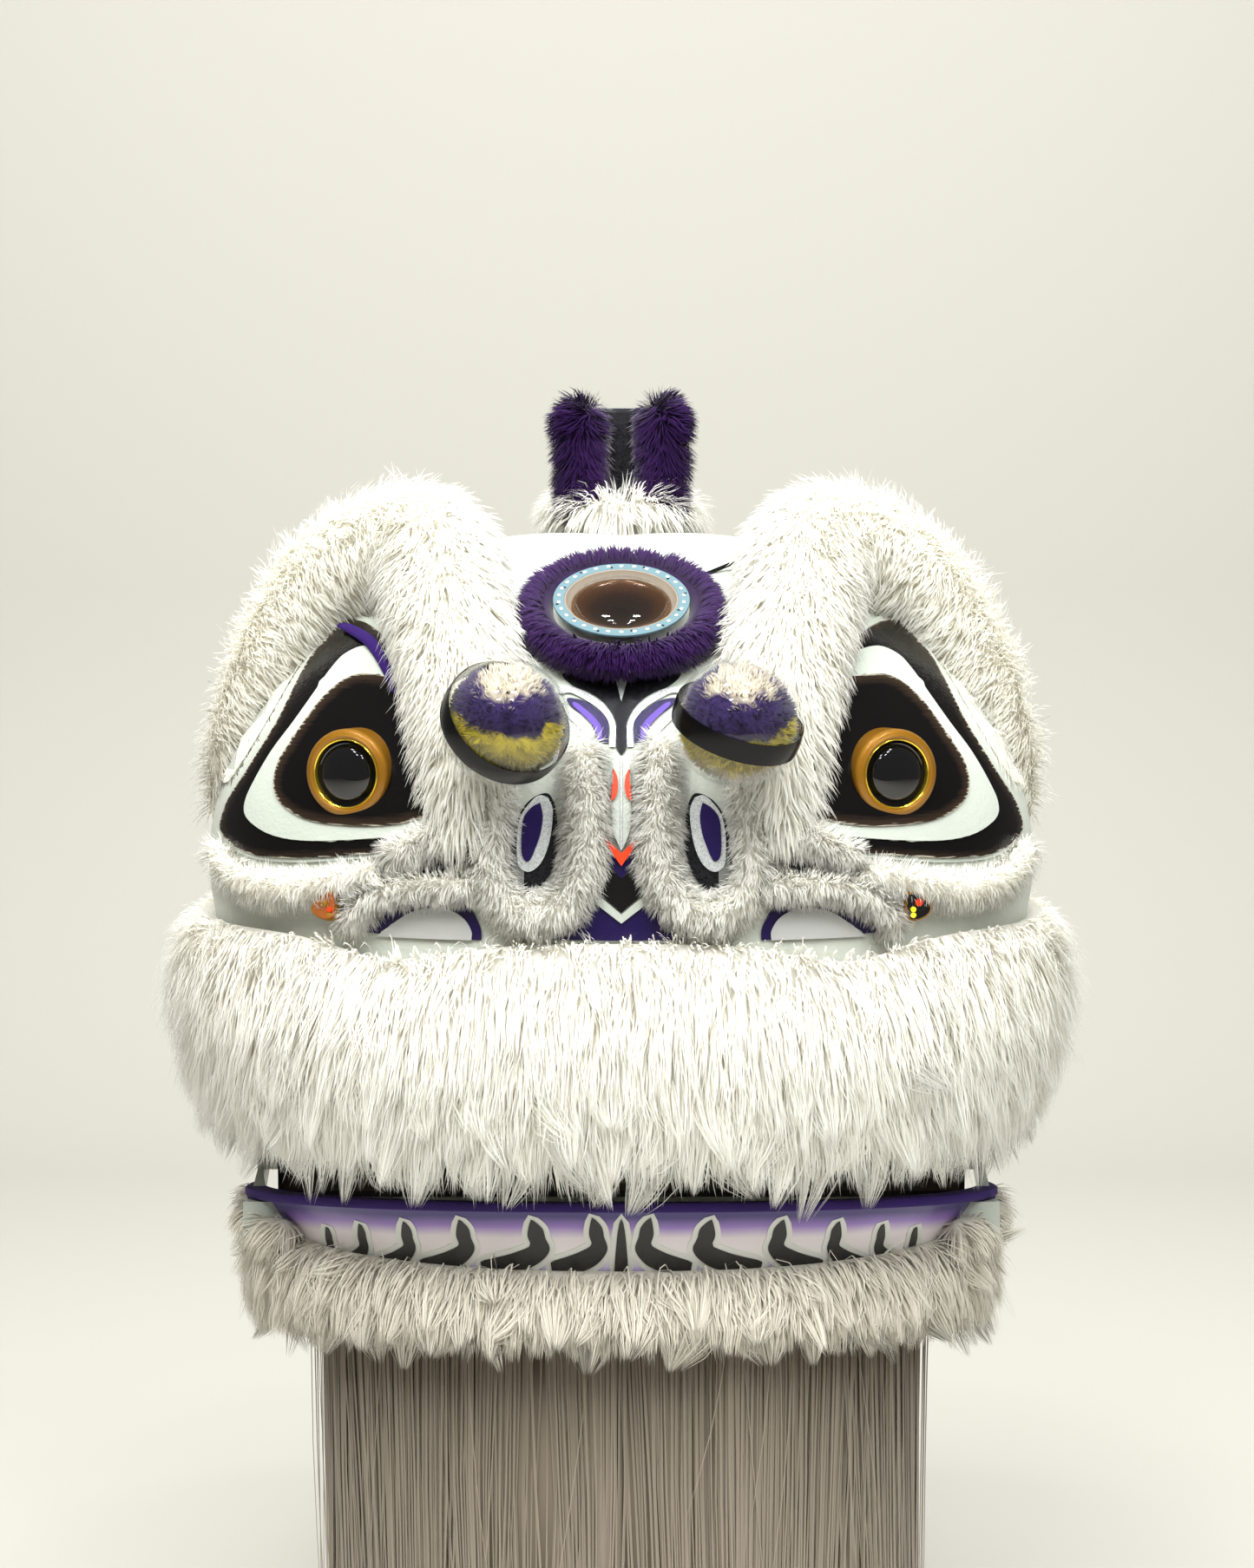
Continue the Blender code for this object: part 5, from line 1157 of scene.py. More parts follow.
def makeCollar():
    turns = around(56)
    radius, drop = collar["radius"] + 0.0015, collar["drop"] + 0.001
    circle = [Vector((math.cos(a) * radius, math.sin(a) * radius, -drop)) for a in turns]
    path = np.array([mirrorFrame @ spot for spot in circle])
    middle = np.array(mirrorFrame @ Vector((0.0, 0.0, -drop)))
    pelt = loft(tubeRings(path, np.full(len(path), 0.0085), 14, middle, closed=True), closed=True)
    up = np.array(mirrorFrame.to_3x3() @ Vector((0, 0, 1)))

    def collarFlow(p, n):
        out = p - middle
        return unit(out - up * (out @ up)[:, None]) * 0.9 - up * 0.15

    def openSide(mid, facing):
        out = mid - middle
        flat = unit(out - up * (out @ up)[:, None])
        return clearOfShell(mid, facing) & ((facing * flat).sum(-1) > -0.35)

    furPiece("mirrorCollar", pelt, collar, 70, collarFlow, violetFur, ["mirror_collar"],
             openSide)


makeCollar()

# Horn: a glittering black core, two strips of violet fur and a white ruff
horn = {"y": 0.03, "footZ": 0.44, "topZ": 0.556, "halfWidth": 0.022, "halfDepth": 0.02, "lean": 0.008,
        "stripX": 0.03, "stripZ": (0.486, 0.548), "stripRadius": 0.0125, "baseRadius": 0.042,
        "baseZ": 0.476, "baseTube": 0.0115}
hornFur = {"count": 5000, "length": 0.018, "width": 0.0013, "lift": 0.42, "droop": 0.1, "frizz": 0.26,
           "bend": 0.15, "clump": 0.45, "clumpSize": 16, "segments": 3}
ruffFur = {"count": 5200, "length": 0.025, "width": 0.0014, "lift": 0.7, "droop": 0.26, "frizz": 0.2,
           "bend": 0.2, "clump": 0.45, "clumpSize": 20, "segments": 3}


def makeHorn():
    rings = []
    for z, share, lean in ((horn["footZ"], 1.15, 0.0), (0.5, 1.0, 0.25), (horn["topZ"] - 0.003, 0.95, 0.97),
                           (horn["topZ"], 0.85, 1.0)):
        turns = around(40)
        x = np.sign(np.cos(turns)) * np.abs(np.cos(turns)) ** 0.6 * horn["halfWidth"] * share
        y = np.sign(np.sin(turns)) * np.abs(np.sin(turns)) ** 0.6 * horn["halfDepth"] * share
        rings.append(np.column_stack([x, horn["y"] - lean * horn["lean"] + y, np.full(len(turns), z)]))
    addObject("hornCore", loft(rings), blackGlitter, ["horn_core"])
    half = ((0.0, -0.003), (0.006, 0.005), (0.012, 0.004), (0.013, -0.001), (0.0, -0.012))
    heart = np.vstack([np.array(half), (np.array(half)[1:-1] * (-1, 1))[::-1]])
    curve = outlineCurve(heart, sharp=(0, 4), steps=6)
    bm = cutSheet(curve, 0.01)
    for vert in bm.verts:
        vert.co = Vector((vert.co.x, horn["y"] - horn["lean"] + vert.co.z, horn["topZ"] + 0.0008))
    bmesh.ops.recalc_face_normals(bm, faces=bm.faces)
    bmesh.ops.solidify(bm, geom=bm.faces, thickness=0.0036)
    addObject("hornCap", bm, silverGlitter, ["horn_cap"])
    for word, side in sides:
        low, high = horn["stripZ"]
        foot = np.array([horn["stripX"] * side, horn["y"] - 0.018, low])
        head = np.array([horn["stripX"] * side * 1.05, horn["y"] - 0.024, high])
        path = foot + (head - foot) * np.linspace(0, 1, 14)[:, None]
        behind = np.array([0.0, horn["y"] + 0.1, (low + high) / 2])
        pelt = loft(tubeRings(path, np.full(14, horn["stripRadius"]), 16, behind))

        def stripFlow(p, n, side=side):
            lean = np.clip((p[:, 2] - 0.53) / 0.03, 0, 1)
            out = n[:, 0] * 1.1 + side * 0.5 * lean
            return np.stack([out, np.full(len(p), -0.3), -0.55 + 0.85 * lean], axis=-1)

        furPiece(f"hornFur.{word}", pelt, hornFur, 75 + side, stripFlow, violetFur,
                 [f"horn_fur_{word}"])
    turns = around(40)
    path = np.column_stack([horn["baseRadius"] * np.cos(turns),
                            horn["y"] + horn["baseRadius"] * 0.85 * np.sin(turns),
                            np.full(40, horn["baseZ"])])
    middle = np.array([0.0, horn["y"], horn["baseZ"]])
    pelt = loft(tubeRings(path, np.full(40, horn["baseTube"]), 14, middle, closed=True), closed=True)

    def ruffFlow(p, n):
        out = unit((p - middle) * np.array([1, 1, 0]))
        return out * 0.7 + np.array([0.0, 0.0, -0.8])

    furPiece("hornRuff", pelt, ruffFur, 80, ruffFlow, whiteFur, ["horn_base_fur"])


makeHorn()
print("forehead made")

# Clear balls on coil springs: a two-part acrylic shell with a woollen pompom in it
# tape is half the tape's width in degrees
ball = {"place": (0.0745, 0.345), "standOff": 0.0885, "radius": 0.042, "wall": 0.0011, "pompom": 0.0385,
        "foot": (0.047, 0.322), "tape": 10.0, "springRadius": 0.0042, "wire": 0.0007, "turns": 11,
        "tapeNormals": {"left": (0.42, -0.7, 0.58), "right": (0.28, -0.36, 0.89)},
        "woolAxes": {"left": (0.1, -0.42, 0.9), "right": (0.05, -0.5, 0.86)}}
wool = {"count": 5000, "length": 0.006, "width": 0.001, "lift": 0.9, "droop": 0.0, "frizz": 0.2,
        "bend": 0.0, "clump": 0.5, "clumpSize": 12, "segments": 2}


def woolMaterial(name, centre, axis):
    # yarn wound in patches round one pole: cream, violet, yellow, and cream again below
    mat, shader = newMaterial(name, Roughness=0.9, Sheen_Weight=0.3)
    place = addNode(mat, "TexCoord").outputs["Object"]
    moved = addNode(mat, "Mapping", None, {"Vector": place, "Location": tuple(-c for c in centre)})
    height = addNode(mat, "VectorMath", {"operation": "DOT_PRODUCT"}, {0: moved.outputs[0], 1: tuple(axis)})
    noise = addNode(mat, "TexNoise", None, {"Vector": place, "Scale": 48.0, "Detail": 2.0})
    warped = addNode(mat, "Math", {"operation": "MULTIPLY_ADD"},
                     {0: noise.outputs["Fac"], 1: 0.022, 2: height.outputs["Value"]})
    level = addNode(mat, "MapRange", None, {"Value": warped.outputs[0], "From Min": -0.012,
                                            "From Max": 0.05})
    colour = addNode(mat, "ValToRGB", None, {"Fac": level.outputs["Result"]},
                     ((0.0, "#b9b0a0"), (0.04, "#b3a483"), (0.1, "#b39e06"), (0.46, "#c9b402"),
                      (0.52, "#1d0a40"), (0.8, "#260f4c"), (0.86, "#b5a998"), (1.0, "#c9bfae")))
    shade = addNode(mat, "Attribute", {"attribute_name": "shade"}).outputs["Fac"]
    strength = addNode(mat, "MapRange", None, {"Value": shade, "To Min": 0.62, "To Max": 1.15})
    addNode(mat, "Mix", multiply, {"Factor": 1.0, "A": colour.outputs["Color"],
                                   "B": strength.outputs["Result"]},
            to=shader.inputs["Base Color"], output="Result")
    return mat


def makeBall(word, side):
    x, z = ball["place"]
    centre = onFace(x * side, z) - np.array([0.0, ball["standOff"], 0.0])
    foot = onFace(ball["foot"][0] * side, ball["foot"][1], 0.0004)
    way = foot - centre
    place = frameAt(centre, way)
    radius, hole = ball["radius"], math.asin(0.0055 / ball["radius"])
    profile = [(radius * math.sin(a), radius * math.cos(a)) for a in np.linspace(hole, math.pi, 34)]
    turnedPiece(f"ballShell.{word}", profile, 56, place, ballAcrylic,
                [f"ball_shell_{word}"], ball["wall"])
    seamWay = Vector((0.05, 0.35, 0.94)) if side < 0 else Vector(ball["tapeNormals"]["right"])
    seam = [(radius - 0.0003, -0.0006), (radius + 0.0004, -0.0004), (radius + 0.0004, 0.0004),
            (radius - 0.0003, 0.0006)]
    rise = 0.01 if side < 0 else 0.0
    shrink = math.sqrt(1 - (rise / radius) ** 2)
    seamPlace = frameAt(centre, seamWay) @ Matrix.Translation((0, 0, rise))
    seamPlace = seamPlace @ Matrix.Diagonal((shrink, shrink, 1, 1))
    turnedPiece(f"ballSeam.{word}", seam, 96, seamPlace, ballAcrylic)
    half = math.radians(ball["tape"])
    band = [((radius + 0.0004) * math.cos(a), (radius + 0.0004) * math.sin(a))
            for a in np.linspace(-half, half, 9)]
    turnedPiece(f"ballTape.{word}", band, 120, frameAt(centre, ball["tapeNormals"][word]), blackTape,
                [f"ball_tape_{word}"], wall=-0.0004)
    pelt = bmesh.new()
    bmesh.ops.create_icosphere(pelt, subdivisions=4, radius=ball["pompom"] - 0.0045)
    bmesh.ops.translate(pelt, vec=Vector(centre), verts=pelt.verts)
    bmesh.ops.recalc_face_normals(pelt, faces=pelt.faces)
    yarn = woolMaterial(f"woollenYarn.{word}", centre, unit(np.array(ball["woolAxes"][word])))
    furPiece(f"ballPompom.{word}", pelt, wool, 90 + side, lambda p, n: n, yarn,
             [f"ball_pompom_{word}"])
    length = float(np.linalg.norm(way))
    start = ball["pompom"] + 0.001
    t = np.linspace(0, 1, ball["turns"] * 14 + 1)
    angle = t * math.tau * ball["turns"]
    heights = start + (length + 0.004 - start) * t
    coil = np.column_stack([np.cos(angle) * ball["springRadius"], np.sin(angle) * ball["springRadius"],
                            heights])
    coil = np.array([place @ Vector(p) for p in coil])
    axisPoint = np.array([place @ Vector((0, 0, h)) for h in heights])
    bm = loft(tubeRings(coil, np.full(len(coil), ball["wire"]), 6, axisPoint, rounded=False))
    addObject(f"ballSpring.{word}", bm, steelWire, [f"ball_post_{word}"])


bothSides(makeBall)
print("balls made")

# Jaw, in its own frame: hinge line at the origin, rim level, front along -Y
jaw = {"hingeY": -0.035, "tilt": 9.0, "halfWidth": 0.28, "length": 0.252, "squareness": 2.3, "rimZ": -0.016,
       "rimHeight": 0.006, "rimWidth": 0.02, "footZ": -0.066, "headShare": 0.965, "footShare": 0.86,
       "backY": -0.08, "skin": 0.0008}
jawTilt = Matrix.Rotation(-math.radians(jaw["tilt"]), 4, "X")
jawFrame = Matrix.Translation((0.0, jaw["hingeY"], 0.0)) @ jawTilt
jawTurn = np.array(jawFrame.to_3x3())
jawPlace = np.array(jawFrame.translation)


def jawSpot(turn, share, z):
    s, c = np.sin(np.radians(turn)), np.cos(np.radians(turn))
    power = 2.0 / jaw["squareness"]
    x = np.sign(s) * np.abs(s) ** power * jaw["halfWidth"] * share
    y = -np.abs(c) ** power * jaw["length"] * share
    return np.stack(np.broadcast_arrays(x, y, z), axis=-1)


def toRow(p):
    return p @ jawTurn.T + jawPlace


def wallShare(z):
    run = (jaw["rimZ"] - jaw["rimHeight"] - z) / (jaw["rimZ"] - jaw["rimHeight"] - jaw["footZ"])
    return jaw["headShare"] + (jaw["footShare"] - jaw["headShare"]) * run + jaw["skin"] / jaw["length"]


def jawPaint():
    # white paper sprayed violet from the rim down, with a second pale violet haze at the foot
    mat, shader = newMaterial("sprayedVioletOnWhite", Roughness=0.34, Coat_Weight=0.3)
    along = addNode(mat, "Attribute", {"attribute_name": "along"}).outputs["Fac"]
    place = addNode(mat, "TexCoord").outputs["Object"]
    cloud = addNode(mat, "TexNoise", None, {"Vector": place, "Scale": 26.0, "Detail": 2.0})
    shift = addNode(mat, "Math", {"operation": "MULTIPLY_ADD"}, {0: cloud.outputs["Fac"], 1: 0.1, 2: along})
    addNode(mat, "ValToRGB", None, {"Fac": shift.outputs[0]},
            ((0.06, "#8f80b4"), (0.16, "#bdb3cf"), (0.3, "#cdc9c6"), (0.62, "#c6bcc0"), (0.8, "#7f62a6"),
             (0.96, "#2a1466")),
            shader.inputs["Base Color"])
    return mat


def makeJawPan():
    turns = np.linspace(-82.0, 82.0, 110)
    top, foot = jaw["rimZ"] - jaw["rimHeight"] - 0.0004, jaw["footZ"]
    levels = np.linspace(top, foot + 0.004, 9)
    rings = [jawSpot(turns, wallShare(z), z) for z in levels]
    rings.append(jawSpot(turns, wallShare(foot + 0.001), foot + 0.001))
    rings.append(jawSpot(turns, wallShare(foot) - 0.012, foot))
    bm = bmesh.new()
    layer = bm.verts.layers.float.new("along")
    rows = []
    for ring, level in zip(rings, [*np.linspace(1, 0.05, 9), 0.02, 0.0]):
        ring[:, 1] = np.minimum(ring[:, 1], jaw["backY"])
        row = [bm.verts.new(p) for p in toRow(ring)]
        for vert in row:
            vert[layer] = level
        for pair in zip(row, row[1:]):
            bm.edges.new(pair)
        rows.append(row)
    for first, second in zip(rows, rows[1:]):
        edges = [bm.edges.get(pair) for row in (first, second) for pair in zip(row, row[1:])]
        bmesh.ops.bridge_loops(bm, edges=edges)
    bmesh.ops.contextual_create(bm, geom=rows[-1])
    bmesh.ops.triangulate(bm, faces=[f for f in bm.faces if len(f.verts) > 4])
    bmesh.ops.remove_doubles(bm, verts=bm.verts, dist=1e-6)
    bmesh.ops.recalc_face_normals(bm, faces=bm.faces)
    if sum((f.normal * f.calc_area() for f in bm.faces if abs(f.normal.z) > 0.8), Vector()).z > 0:
        bmesh.ops.reverse_faces(bm, faces=bm.faces)
    bmesh.ops.solidify(bm, geom=bm.faces, thickness=0.003)
    addObject("jawWall", bm, jawPaint(), body="jaw")


# u runs from a flame's tip side away from the middle, v from the wall's foot to its head
flame = {
    "outline": ((0.26, 1.0), (0.12, 0.84), (0.08, 0.66), (0.02, 0.46), (0.14, 0.26), (0.34, 0.12),
                (0.66, 0.02), (0.97, 0.0), (1.0, 0.2), (0.74, 0.28), (0.48, 0.38), (0.26, 0.52),
                (0.3, 0.74)),
    "corners": (0, 7, 8),
    # start and width as seen from the front, in metres, then the share of the height
    "places": ((0.0095, 0.037, 1.0), (0.048, 0.046, 0.96), (0.099, 0.037, 0.94), (0.14, 0.027, 0.88),
               (0.174, 0.018, 0.8), (0.2, 0.013, 0.7)),
    "spear": ((0.0, 1.0), (0.002, 0.66), (0.004, 0.0), (-0.004, 0.0), (-0.002, 0.66)),
    "height": 0.038, "swell": 0.001, "rim": 0.0048,
}


def onJaw(x, v, lift):
    # x as seen from the front and v up the wall from its foot, in metres
    z = jaw["footZ"] + v
    share = wallShare(z) + lift / jaw["length"]
    part = np.clip(np.abs(x) / (jaw["halfWidth"] * share), 0.0, 0.995)
    turn = np.degrees(np.arcsin(part ** (jaw["squareness"] / 2.0))) * np.sign(x)
    return toRow(jawSpot(turn, share, z))


def widened(curve, margin):
    # the outline moved outwards by a margin
    along = unit(np.roll(curve, -1, axis=0) - np.roll(curve, 1, axis=0))
    normal = np.column_stack([along[:, 1], -along[:, 0]])
    x, z = curve.T
    area = (x * np.roll(z, -1) - np.roll(x, -1) * z).sum()
    moved = curve + normal * margin * (1 if area > 0 else -1)
    run = np.roll(curve, -1, axis=0) - curve
    gap = moved[:, None] - curve[None]
    share = np.clip((gap * run).sum(-1) / (run**2).sum(-1), 0.0, 1.0)
    apart = np.linalg.norm(gap - share[..., None] * run, axis=-1).min(axis=1)
    return moved[apart > margin * 0.97]  # without the loops that form in its notches


def layFlame(name, curve):
    for kind, edge, lift, finish, slotName in (("Rim", widened(curve, flame["rim"]), 0.0005, flameSilver,
                                                "silver_paint"),
                                               ("", widened(curve, flame["swell"]), 0.0013, flameBlack,
                                                "black_paint")):
        edge = np.column_stack([edge[:, 0], np.clip(edge[:, 1], 0.0006, 0.0435)])
        layPatch(f"{name}{kind}", edge, lift, finish, (), 0.0006, 0.005, onJaw, "jaw")


def makeFlames():
    layFlame("jawSpear.middle", outlineCurve(np.array(flame["spear"]) * (1.0, flame["height"]),
                                             sharp=(0, 2, 3), steps=5))
    for word, side in sides:
        for i, (start, width, share) in enumerate(flame["places"]):
            shape = np.array(flame["outline"]) * (width, flame["height"] * share) + (start, 0.0008)
            layFlame(f"jawFlame.{word}.{i}", outlineCurve(shape * (side, 1.0), sharp=flame["corners"],
                                                          steps=5))


makeJawPan()
makeFlames()


def makeRim():
    turns = np.linspace(-90, 90, 120)
    top, foot = jaw["rimZ"], jaw["rimZ"] - jaw["rimHeight"]
    taper = 1.0 - 0.94 * (np.abs(turns) / 90.0) ** 8
    reach = 1.0 - 0.03 * (np.abs(turns) / 90.0) ** 8
    tip = (0.014 * (np.abs(turns) / 90.0) ** 12)[:, None] * np.array([0.0, 1.0, 0.0])
    inner = reach - jaw["rimWidth"] * taper / jaw["length"]
    half = (top + foot) / 2
    rows = [jawSpot(turns, reach - 0.003, top) + tip, jawSpot(turns, reach, half + 0.0018) + tip,
            jawSpot(turns, reach, half - 0.0018) + tip, jawSpot(turns, reach - 0.003, foot) + tip,
            jawSpot(turns, inner, foot) + tip, jawSpot(turns, inner, top) + tip]
    addObject("jawRim", loft(toRow(np.stack(rows, axis=1))), violetFelt, ["jaw_rim"], "jaw")


makeRim()

jawFur = {"sweep": 84.0, "locks": {"count": 4000, "length": 0.044, "width": 0.0011, "frizz": 0.28,
                                   "clump": 0.88, "clumpSize": 34},
          "count": 9600, "length": 0.032, "width": 0.0014, "lift": 0.42, "droop": 0.34, "frizz": 0.2,
          "bend": 0.2, "clump": 0.55, "clumpSize": 18, "segments": 3}
armFur = {"path": ((0.236, -0.132, -0.043), (0.25, -0.116, -0.042), (0.26, -0.09, -0.038),
                   (0.265, -0.06, -0.032), (0.266, -0.036, -0.026)),
          "radius": 0.0085, "length": 0.024, "count": 1800}


def makeJawFur():
    foot = jaw["footZ"]
    rings = []
    for turn in np.linspace(-jawFur["sweep"], jawFur["sweep"], 70):
        rise = (turn / jawFur["sweep"]) ** 2
        top = foot + 0.004 + 0.03 * rise
        drop = 0.06 - 0.016 * rise
        wall = jaw["footShare"] + (jaw["headShare"] - jaw["footShare"]) * (top - foot) / 0.044
        out = 1.0 - 0.55 * rise
        section = ((wall + 0.004, top - 0.001), (wall + 0.02 * out, top - 0.004),
                   (wall + 0.04 * out, top - 0.018), (wall + 0.046 * out, foot - drop * 0.3),
                   (wall + 0.03 * out, foot - drop * 0.48), (0.85, foot - drop * 0.4),
                   (0.845, foot - 0.003))
        rings.append([jawSpot(turn, share, z) for share, z in section])
    pelt = loft([toRow(np.array(ring)) for ring in rings])

    def skirtFlow(p, n):
        out = unit(p * np.array([1.0, 1.0, 0.0]))
        return out * 0.35 + np.array([0.0, 0.0, -1.0])

    def outer(mid, facing):
        out = unit(mid * np.array([1.0, 1.0, 0.0]))
        return (facing * out).sum(-1) > -0.3

    # the jaw's and the arms' fur take the greyer pile: painted shade below the lip
    hair = furOn(pelt, jawFur, 95, skirtFlow, outer)
    locks = furOn(pelt, {**jawFur, **jawFur["locks"]}, 96, skirtFlow, outer)
    furObject("jawFur", pelt, [hair, locks], jawShadedPile, ["jaw_fur"], "jaw")

    def armFlow(p, n):
        return np.column_stack([p[:, 0] * 1.2, np.full(len(p), 0.25), np.full(len(p), -1.0)])

    # the same fur runs back over the arms to the hinges
    for word, side in sides:
        path = toRow(np.array([(side * x, y, z) for x, y, z in armFur["path"]]))
        pelt = loft(tubeRings(path, np.full(len(path), armFur["radius"]), 12, np.array([0.0, -0.1, 0.0])))
        furPiece(f"armFur.{word}", pelt, {**jawFur, **armFur}, 97 + side, armFlow, jawShadedPile, [],
                 body="jaw")


makeJawFur()

beard = {"outerShare": 0.825, "innerShare": 0.77, "spread": 66.0, "footZ": -0.42, "locks": 52,
         "perLock": 96, "width": 0.0018, "segments": 5}


def makeBeard():
    # straight hair hangs in flat locks that overlap like ribbons
    rng = np.random.default_rng(101)
    lines, normals, tones, widths = [], [], [], []
    locks = int(beard["locks"])
    for k in range(locks):
        turn = beard["spread"] * (2 * (k + rng.uniform(-0.3, 0.3) + 0.5) / locks - 1)
        turn = max(-beard["spread"], min(beard["spread"], turn))
        share = rng.uniform(beard["innerShare"] + 0.008, beard["outerShare"] - 0.002)
        root = toRow(jawSpot(turn, share, jaw["footZ"] - 0.001))
        out = unit(root * np.array([1.0, 1.0, 0.0]))
        tangent = np.array([-out[1], out[0], 0.0])
        foot = beard["footZ"] + rng.normal(0, 0.006)
        drift = tangent * rng.normal(0, 0.006) + out * rng.normal(0, 0.002)
        tone = rng.random()
        spread = rng.uniform(0.006, 0.011)
        count = many(beard["perLock"])
        across = rng.normal(0, spread, count)
        deep = rng.normal(0, 0.0022, count)
        low = foot + np.abs(rng.normal(0, 0.018, count))
        t = np.linspace(0, 1, beard["segments"] + 1)
        narrow = 1.0 - 0.45 * t**2
        wave = 0.0016 * np.sin(t * rng.uniform(4, 9) + rng.uniform(0, 6))
        for i in range(count):
            own = 0.001 * np.sin(t * rng.uniform(3, 7) + rng.uniform(0, 6))
            line = root + tangent * (across[i] * narrow + wave + own)[:, None]
            line = line + out * (deep[i] * (1 - 0.3 * t))[:, None] + drift * t[:, None]
            line[:, 2] = root[2] + (low[i] - root[2]) * t
            lines.append(line)
            normals.append(out)
            tones.append(min(1.0, max(0.0, tone + rng.normal(0, 0.12))))
            widths.append(beard["width"] * rng.uniform(0.5, 1.2))
    # loose single hairs that stray over the others
    for k in range(14):
        turn = rng.uniform(-60, 60)
        root = toRow(jawSpot(turn, beard["outerShare"] - 0.004, jaw["footZ"] - 0.001))
        out = unit(root * np.array([1.0, 1.0, 0.0]))
        tangent = np.array([-out[1], out[0], 0.0])
        t = np.linspace(0, 1, beard["segments"] + 1)
        bend = rng.uniform(-0.05, 0.05)
        line = root + tangent * (bend * t**1.5)[:, None] + out * (0.006 * np.sin(t * math.pi))[:, None]
        line[:, 2] = root[2] + (rng.uniform(-0.4, -0.2) - root[2]) * t
        lines.append(line)
        normals.append(out)
        tones.append(1.0)
        widths.append(0.0009)
    lines, normals = np.array(lines), np.array(normals)
    hair = strandMesh(lines, normals, np.array(widths), np.array(tones), softness=0.3)
    rings = []
    for turn in np.linspace(-beard["spread"], beard["spread"], 60):
        outer = toRow(jawSpot(turn, (beard["outerShare"] + beard["innerShare"]) / 2 + 0.006,
                              jaw["footZ"] - 0.001))
        inner = toRow(jawSpot(turn, (beard["outerShare"] + beard["innerShare"]) / 2 - 0.006,
                              jaw["footZ"] - 0.001))
        low = np.array([0.0, 0.0, beard["footZ"] + 0.085])
        rings.append([outer, outer * (1, 1, 0) + low, inner * (1, 1, 0) + low, inner])
    furObject("beard", loft(rings), [hair], beardHair, ["beard"], "jaw", rootAlong=0.1)


makeBeard()
print("jaw made")

# The frame's own pieces that stay get their finish here


def gauzeMaterial():
    # black gauze, woven of threads half a millimetre apart, a little red where light comes through; its black
    # is also painted shade for the hollow inside of the head
    mat, shader = newMaterial("blackGauzeAndPaintedShade", Roughness=0.85, Sheen_Weight=0.1)
    place = addNode(mat, "TexCoord").outputs["Object"]
    weave = addNode(mat, "TexWave", {"bands_direction": "X"},
                    {"Vector": place, "Scale": 320.0, "Distortion": 0.6})
    addNode(mat, "ValToRGB", None, {"Fac": weave.outputs["Fac"]}, ((0.2, "#060405"), (0.8, "#170b0c")),
            shader.inputs["Base Color"])
    addNode(mat, "Bump", None, {"Height": weave.outputs["Fac"], "Distance": 0.0003, "Strength": 0.4},
            to=shader.inputs["Normal"])
    return mat


# Behind the mouth a black gauze hides who is inside; its black also stands in as painted shade for the hollow
# inside of the head
gauze = {"halfWidth": 0.25, "footZ": -0.03, "headZ": 0.134, "y": -0.0822, "thickness": 0.0008, "sag": 0.006}


def makeGauze():
    bm = bmesh.new()
    bmesh.ops.create_grid(bm, x_segments=60, y_segments=16, size=1.0)
    for vert in bm.verts:
        across, up = vert.co.x, (vert.co.y + 1) / 2
        fold = 0.002 * math.sin(across * 40.0) * (1 - up) * up**2 * 4
        z = gauze["footZ"] + (gauze["headZ"] - gauze["footZ"]) * up
        vert.co = Vector((across * gauze["halfWidth"],
                          gauze["y"] + gauze["sag"] * 4 * up**2 * (1 - up) * (1 - across**2) + fold, z))
    bmesh.ops.recalc_face_normals(bm, faces=bm.faces)
    bmesh.ops.solidify(bm, geom=bm.faces, thickness=gauze["thickness"])
    obj = addObject("mouthGauzeAndShade", bm, gauzeMaterial())


makeGauze()


def caneMaterial():
    # split rattan stained almost black: long fibres with a shiny skin
    mat, shader = newMaterial("stainedRattan", Roughness=0.42)
    place = addNode(mat, "TexCoord").outputs["Object"]
    stretched = addNode(mat, "Mapping", None, {"Vector": place, "Scale": (14.0, 320.0, 320.0)})
    fibre = addNode(mat, "TexNoise", None, {"Vector": stretched.outputs[0], "Scale": 1.0, "Detail": 4.0})
    addNode(mat, "ValToRGB", None, {"Fac": fibre.outputs["Fac"]}, ((0.25, "#17110c"), (0.75, "#34261a")),
            shader.inputs["Base Color"])
    addNode(mat, "Bump", None, {"Height": fibre.outputs["Fac"], "Distance": 0.0004, "Strength": 0.5},
            to=shader.inputs["Normal"])
    return mat


def finishNode(name, mat):
    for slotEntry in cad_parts[name].material_slots:
        slotEntry.material = mat


cane = caneMaterial()
finishNode("base_hoop", cane)
finishNode("carry_bar", cane)
finishNode("jaw_pan", whitePaint)
finishNode("feeler_stick", blackTape)
for word, side in sides:
    finishNode(f"jaw_pin_{word}", steelWire)

# Floor and backdrop in one sweep, soft studio lights
stage = {"floorZ": -0.44, "backY": 2.75, "frontY": -2.8, "halfWidth": 3.4, "height": 3.4, "bend": 0.8}


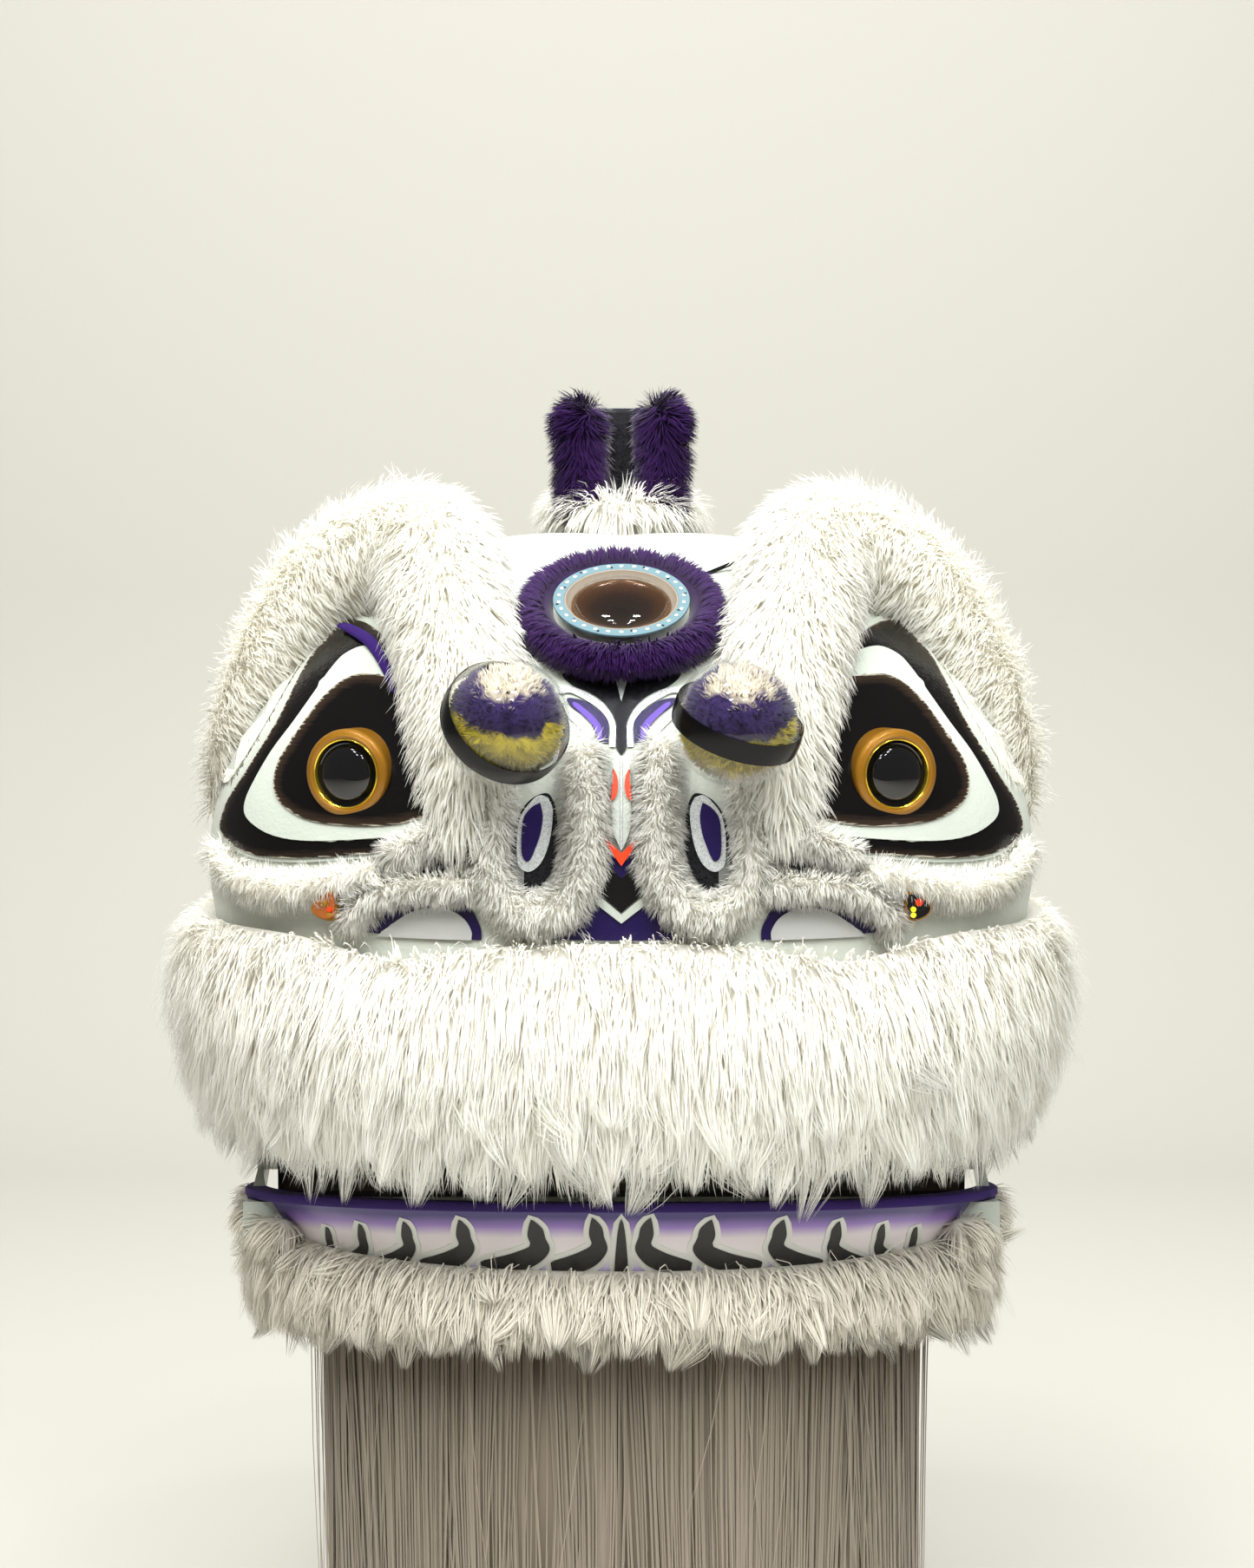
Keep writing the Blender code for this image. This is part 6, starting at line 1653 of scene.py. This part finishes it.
def makeStage():
    bm = bmesh.new()
    back, floor, bend = stage["backY"], stage["floorZ"], stage["bend"]
    profile = [(stage["frontY"], floor), (back - bend, floor)]
    profile += [(back - bend + bend * math.sin(a), floor + bend * (1 - math.cos(a)))
                for a in np.linspace(0.15, math.pi / 2, 12)]
    profile.append((back, floor + stage["height"]))
    line = [bm.verts.new((-stage["halfWidth"], y, z)) for y, z in profile]
    edges = [bm.edges.new(pair) for pair in zip(line, line[1:])]
    made = bmesh.ops.extrude_edge_only(bm, edges=edges)["geom"]
    bmesh.ops.translate(bm, vec=(2 * stage["halfWidth"], 0, 0),
                        verts=[g for g in made if isinstance(g, bmesh.types.BMVert)])
    bmesh.ops.recalc_face_normals(bm, faces=bm.faces)
    mesh = bpy.data.meshes.new("backdrop")
    bm.to_mesh(mesh)
    bm.free()
    mesh.shade_smooth()
    paper, shader = newMaterial("warmWhiteStudioPaper", Base_Color=toLinear("#bab8b1"), Roughness=0.9)
    place = addNode(paper, "TexCoord").outputs["Object"]
    tooth = addNode(paper, "TexNoise", None, {"Vector": place, "Scale": 180.0})
    addNode(paper, "Bump", None, {"Height": tooth.outputs["Fac"], "Distance": 0.0004, "Strength": 0.2},
            to=shader.inputs["Normal"])
    mesh.materials.append(paper)
    obj = bpy.data.objects.new("backdrop", mesh)
    bpy.context.collection.objects.link(obj)


def addLight(name, place, target, size, power, colour):
    data = bpy.data.lights.new(name, "AREA")
    data.shape = "RECTANGLE"
    data.size, data.size_y = size
    data.energy = power
    data.color = colour
    light = bpy.data.objects.new(name, data)
    light.location = place
    light.rotation_euler = (Vector(place) - Vector(target)).to_track_quat("Z", "Y").to_euler()
    light.visible_camera = False
    light.visible_glossy = size[0] < 1.0  # only the tubes show in the gloss, as in the room
    bpy.context.collection.objects.link(light)


makeStage()
addLight("keyLight", (-0.8, -1.6, 2.1), (0, -0.1, 0.25), (2.2, 1.5), 88.0, (1.0, 0.995, 0.955))
addLight("fillLight", (1.2, -1.7, 1.7), (0, -0.1, 0.2), (2.0, 1.4), 62.0, (0.985, 1.0, 0.98))
addLight("topLight", (0.0, -0.4, 2.2), (0, 0, 0.2), (2.4, 2.0), 50.0, (1.0, 1.0, 0.965))
for row, (y, z) in enumerate(((-0.75, 2.35), (-1.45, 2.35), (-2.3, 2.35))):
    for column, x in enumerate((-0.55, 0.55)):
        addLight(f"tubeLight.{row}.{column}", (x, y, z), (x, y, 0.0), (0.3, 0.11), 9.0, (0.93, 0.95, 1.0))
addLight("backdropLight", (0.0, 0.9, 2.9), (0.0, 2.75, 0.8), (4.4, 0.8), 80.0, (1.0, 0.998, 0.97))
world = bpy.data.worlds.new("studio")
world.use_nodes = True
sky = world.node_tree.nodes["Background"].inputs
sky["Color"].default_value = toLinear("#f6f4f0")
sky["Strength"].default_value = 0.2
bpy.context.scene.world = world
bpy.context.scene.view_settings.view_transform = "Standard"
print("stage made")
